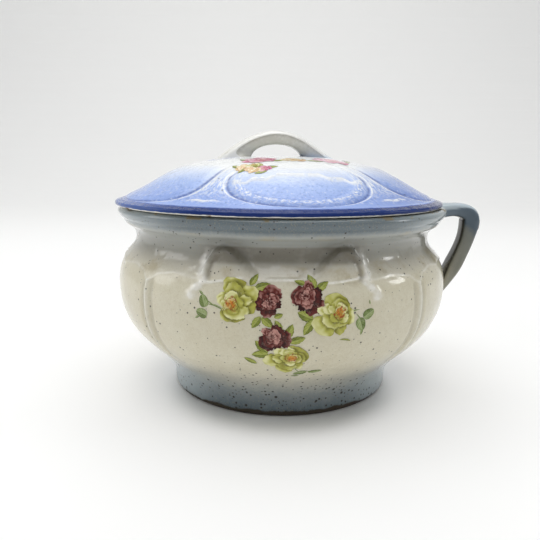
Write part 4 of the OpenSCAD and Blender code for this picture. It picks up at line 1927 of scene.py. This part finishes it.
@dataclass
class Studio:
    """Pale sweep, soft light and the camera. Lengths in metres, angles in degrees."""

    eye: Spot = (-0.0082, -0.4047, 0.1622)
    pitch: float = 11.39
    roll: float = 0.47
    lens: float = 36.0
    sweep_half: float = 14.0
    sweep_back: float = 2.6
    sweep_top: float = 6.0
    sweep_r: float = 1.2
    paper_near: Sequence[str] = ("f3f3f2", "f8f8f7")
    paper_far: str = "e9e9e7"
    paper_glow: float = 0.34
    # shade_front and shade_reach place a painted shadow on the paper round the pot's foot.
    shade_front: float = 0.026
    shade_reach: Point = (0.064, 0.09)
    sky: Colour = (0.97, 0.985, 1.0)
    sky_seen: float = 0.82
    ambient: float = 0.26
    sensor: float = 36.0
    paper_rough: float = 0.85
    paper_shine: float = 0.1
    lamps: Sequence[tuple[str, Spot, Spot, float, float]] = (
        ("overhead", (-0.15, 0.15, 2.6), (0.0, 0.0, 0.05), 3.0, 74.0),
        ("left_window", (-1.3, 0.0, 0.6), (0.0, 0.0, 0.04), 0.6, 2.2),
        ("right_window", (1.4, -0.15, 0.65), (0.0, 0.0, 0.04), 0.26, 1.5))

    def sweep(self) -> None:
        """Lay the floor, which curves up into a backdrop."""
        bm = bmesh.new()
        half, back, r = self.sweep_half, self.sweep_back, self.sweep_r
        rows = [(-half, 0.0), *arc_rows((back - r, r), r, -90, 0, 24), (back, self.sweep_top)]
        verts = [bm.verts.new((-half, y, z)) for y, z in rows]
        edges = [bm.edges.new(pair) for pair in zip(verts, verts[1:])]
        out = bmesh.ops.extrude_edge_only(bm, edges=edges)["geom"]
        bmesh.ops.translate(bm, verts=only_verts(out), vec=(2 * half, 0, 0))
        face_out(bm)
        floor = link("sweep", close_mesh(bm, "sweep"))
        floor.data.materials.append(self.paper())

    def paper(self) -> bpy.types.Material:
        """White paper, a little greyer far off as painted shade, that glows for the eye except round the
        foot, where the missing glow leaves a painted shadow.

        Returns:
            The material.
        """
        made, net, shader = new_material("white_paper")
        here, z = net.place()
        x, y, _ = net.axes(here)
        pale = net.blend(net.cloud(here, 3.0), *self.paper_near)
        # Painted shade: the paper greys with distance from the pot and with height up the backdrop.
        far = net.plus(net.step(net.length(x, y), 0.3, 1.5, 0.0, 0.75), net.step(z, 0.2, 1.2, 0.0, 0.25))
        net.put(shader.inputs["Base Color"], net.blend(far, pale, self.paper_far))
        shader.inputs["Roughness"].default_value = self.paper_rough
        shader.inputs["Specular IOR Level"].default_value = self.paper_shine
        # Painted shadow: the glow fades out round the pot's foot, a little towards the front.
        foot = net.length(x, net.plus(y, self.shade_front))
        glow = net.times(seen_rays(net), net.step(foot, *self.shade_reach, 0.0, self.paper_glow))
        both = net.node("ShaderNodeMixShader")
        for i, v in enumerate((glow, shader.outputs[0], net.node("ShaderNodeEmission").outputs[0])):
            net.put(both.inputs[i], v)
        net.put(made.node_tree.nodes["Material Output"].inputs["Surface"], both.outputs[0])
        return made

    def light(self) -> None:
        """Set up a pale world, a wide soft lamp overhead and a small one at each side."""
        world = bpy.data.worlds.new("studio")
        world.use_nodes = True
        bpy.context.scene.world = world
        net = Net(world.node_tree)
        sky = world.node_tree.nodes["Background"]
        net.put(sky.inputs["Color"], self.sky)
        net.put(sky.inputs["Strength"], net.most(net.times(seen_rays(net), self.sky_seen), self.ambient))
        for row in self.lamps:
            self.lamp(*row)

    def lamp(self, name: str, at: Spot, to: Spot, size: float, watts: float) -> None:
        """Add a square soft lamp.

        Args:
            name: its name.
            at: where it stands.
            to: what it faces.
            size: its side.
            watts: its power.
        """
        data = bpy.data.lights.new(name, "AREA")
        data.size = size
        data.energy = watts
        made = link(name, data)
        made.location = at
        made.rotation_euler = (Vector(to) - Vector(at)).to_track_quat("-Z", "Y").to_euler()

    def camera(self) -> None:
        """Stand the camera where the photograph was taken."""
        data = bpy.data.cameras.new("camera")
        data.sensor_width = self.sensor
        data.lens = self.lens
        made = link("camera", data)
        tilt, lean = math.radians(90 - self.pitch), math.radians(self.roll)
        turn = Matrix.Rotation(tilt, 4, "X") @ Matrix.Rotation(lean, 4, "Z")
        made.matrix_world = Matrix.Translation(self.eye) @ turn
        bpy.context.scene.camera = made

    def build(self) -> None:
        """Set up the sweep, the light, the camera and the view."""
        self.sweep()
        self.light()
        self.camera()
        bpy.context.scene.view_settings.view_transform = "Standard"


def main() -> None:
    """Build and dress every piece and set up the studio."""
    logging.basicConfig(level=logging.INFO, format="%(message)s")
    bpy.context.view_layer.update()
    effects = Effects()
    pot, lid = PotBody(), Lid()
    grip, loop = PotHandle(pot), LidHandle(lid)
    CreamGlaze("oatmeal_cream").dress(pot.build(), effects)
    SlateGlaze("sprayed_slate").dress(grip.build(), effects)
    BlueGlaze("sprayed_cobalt", dimple=560.0, relief=0.7, shine=0.2).dress(lid.build(), effects)
    WhiteGlaze("streaked_white").dress(loop.build(), effects)
    for spray in sprays(pot, lid, grip):
        PrintGlaze("rose_print", shine=0.25).dress(spray.build(), effects)
    Studio().build()


if __name__ == "__main__":
    main()
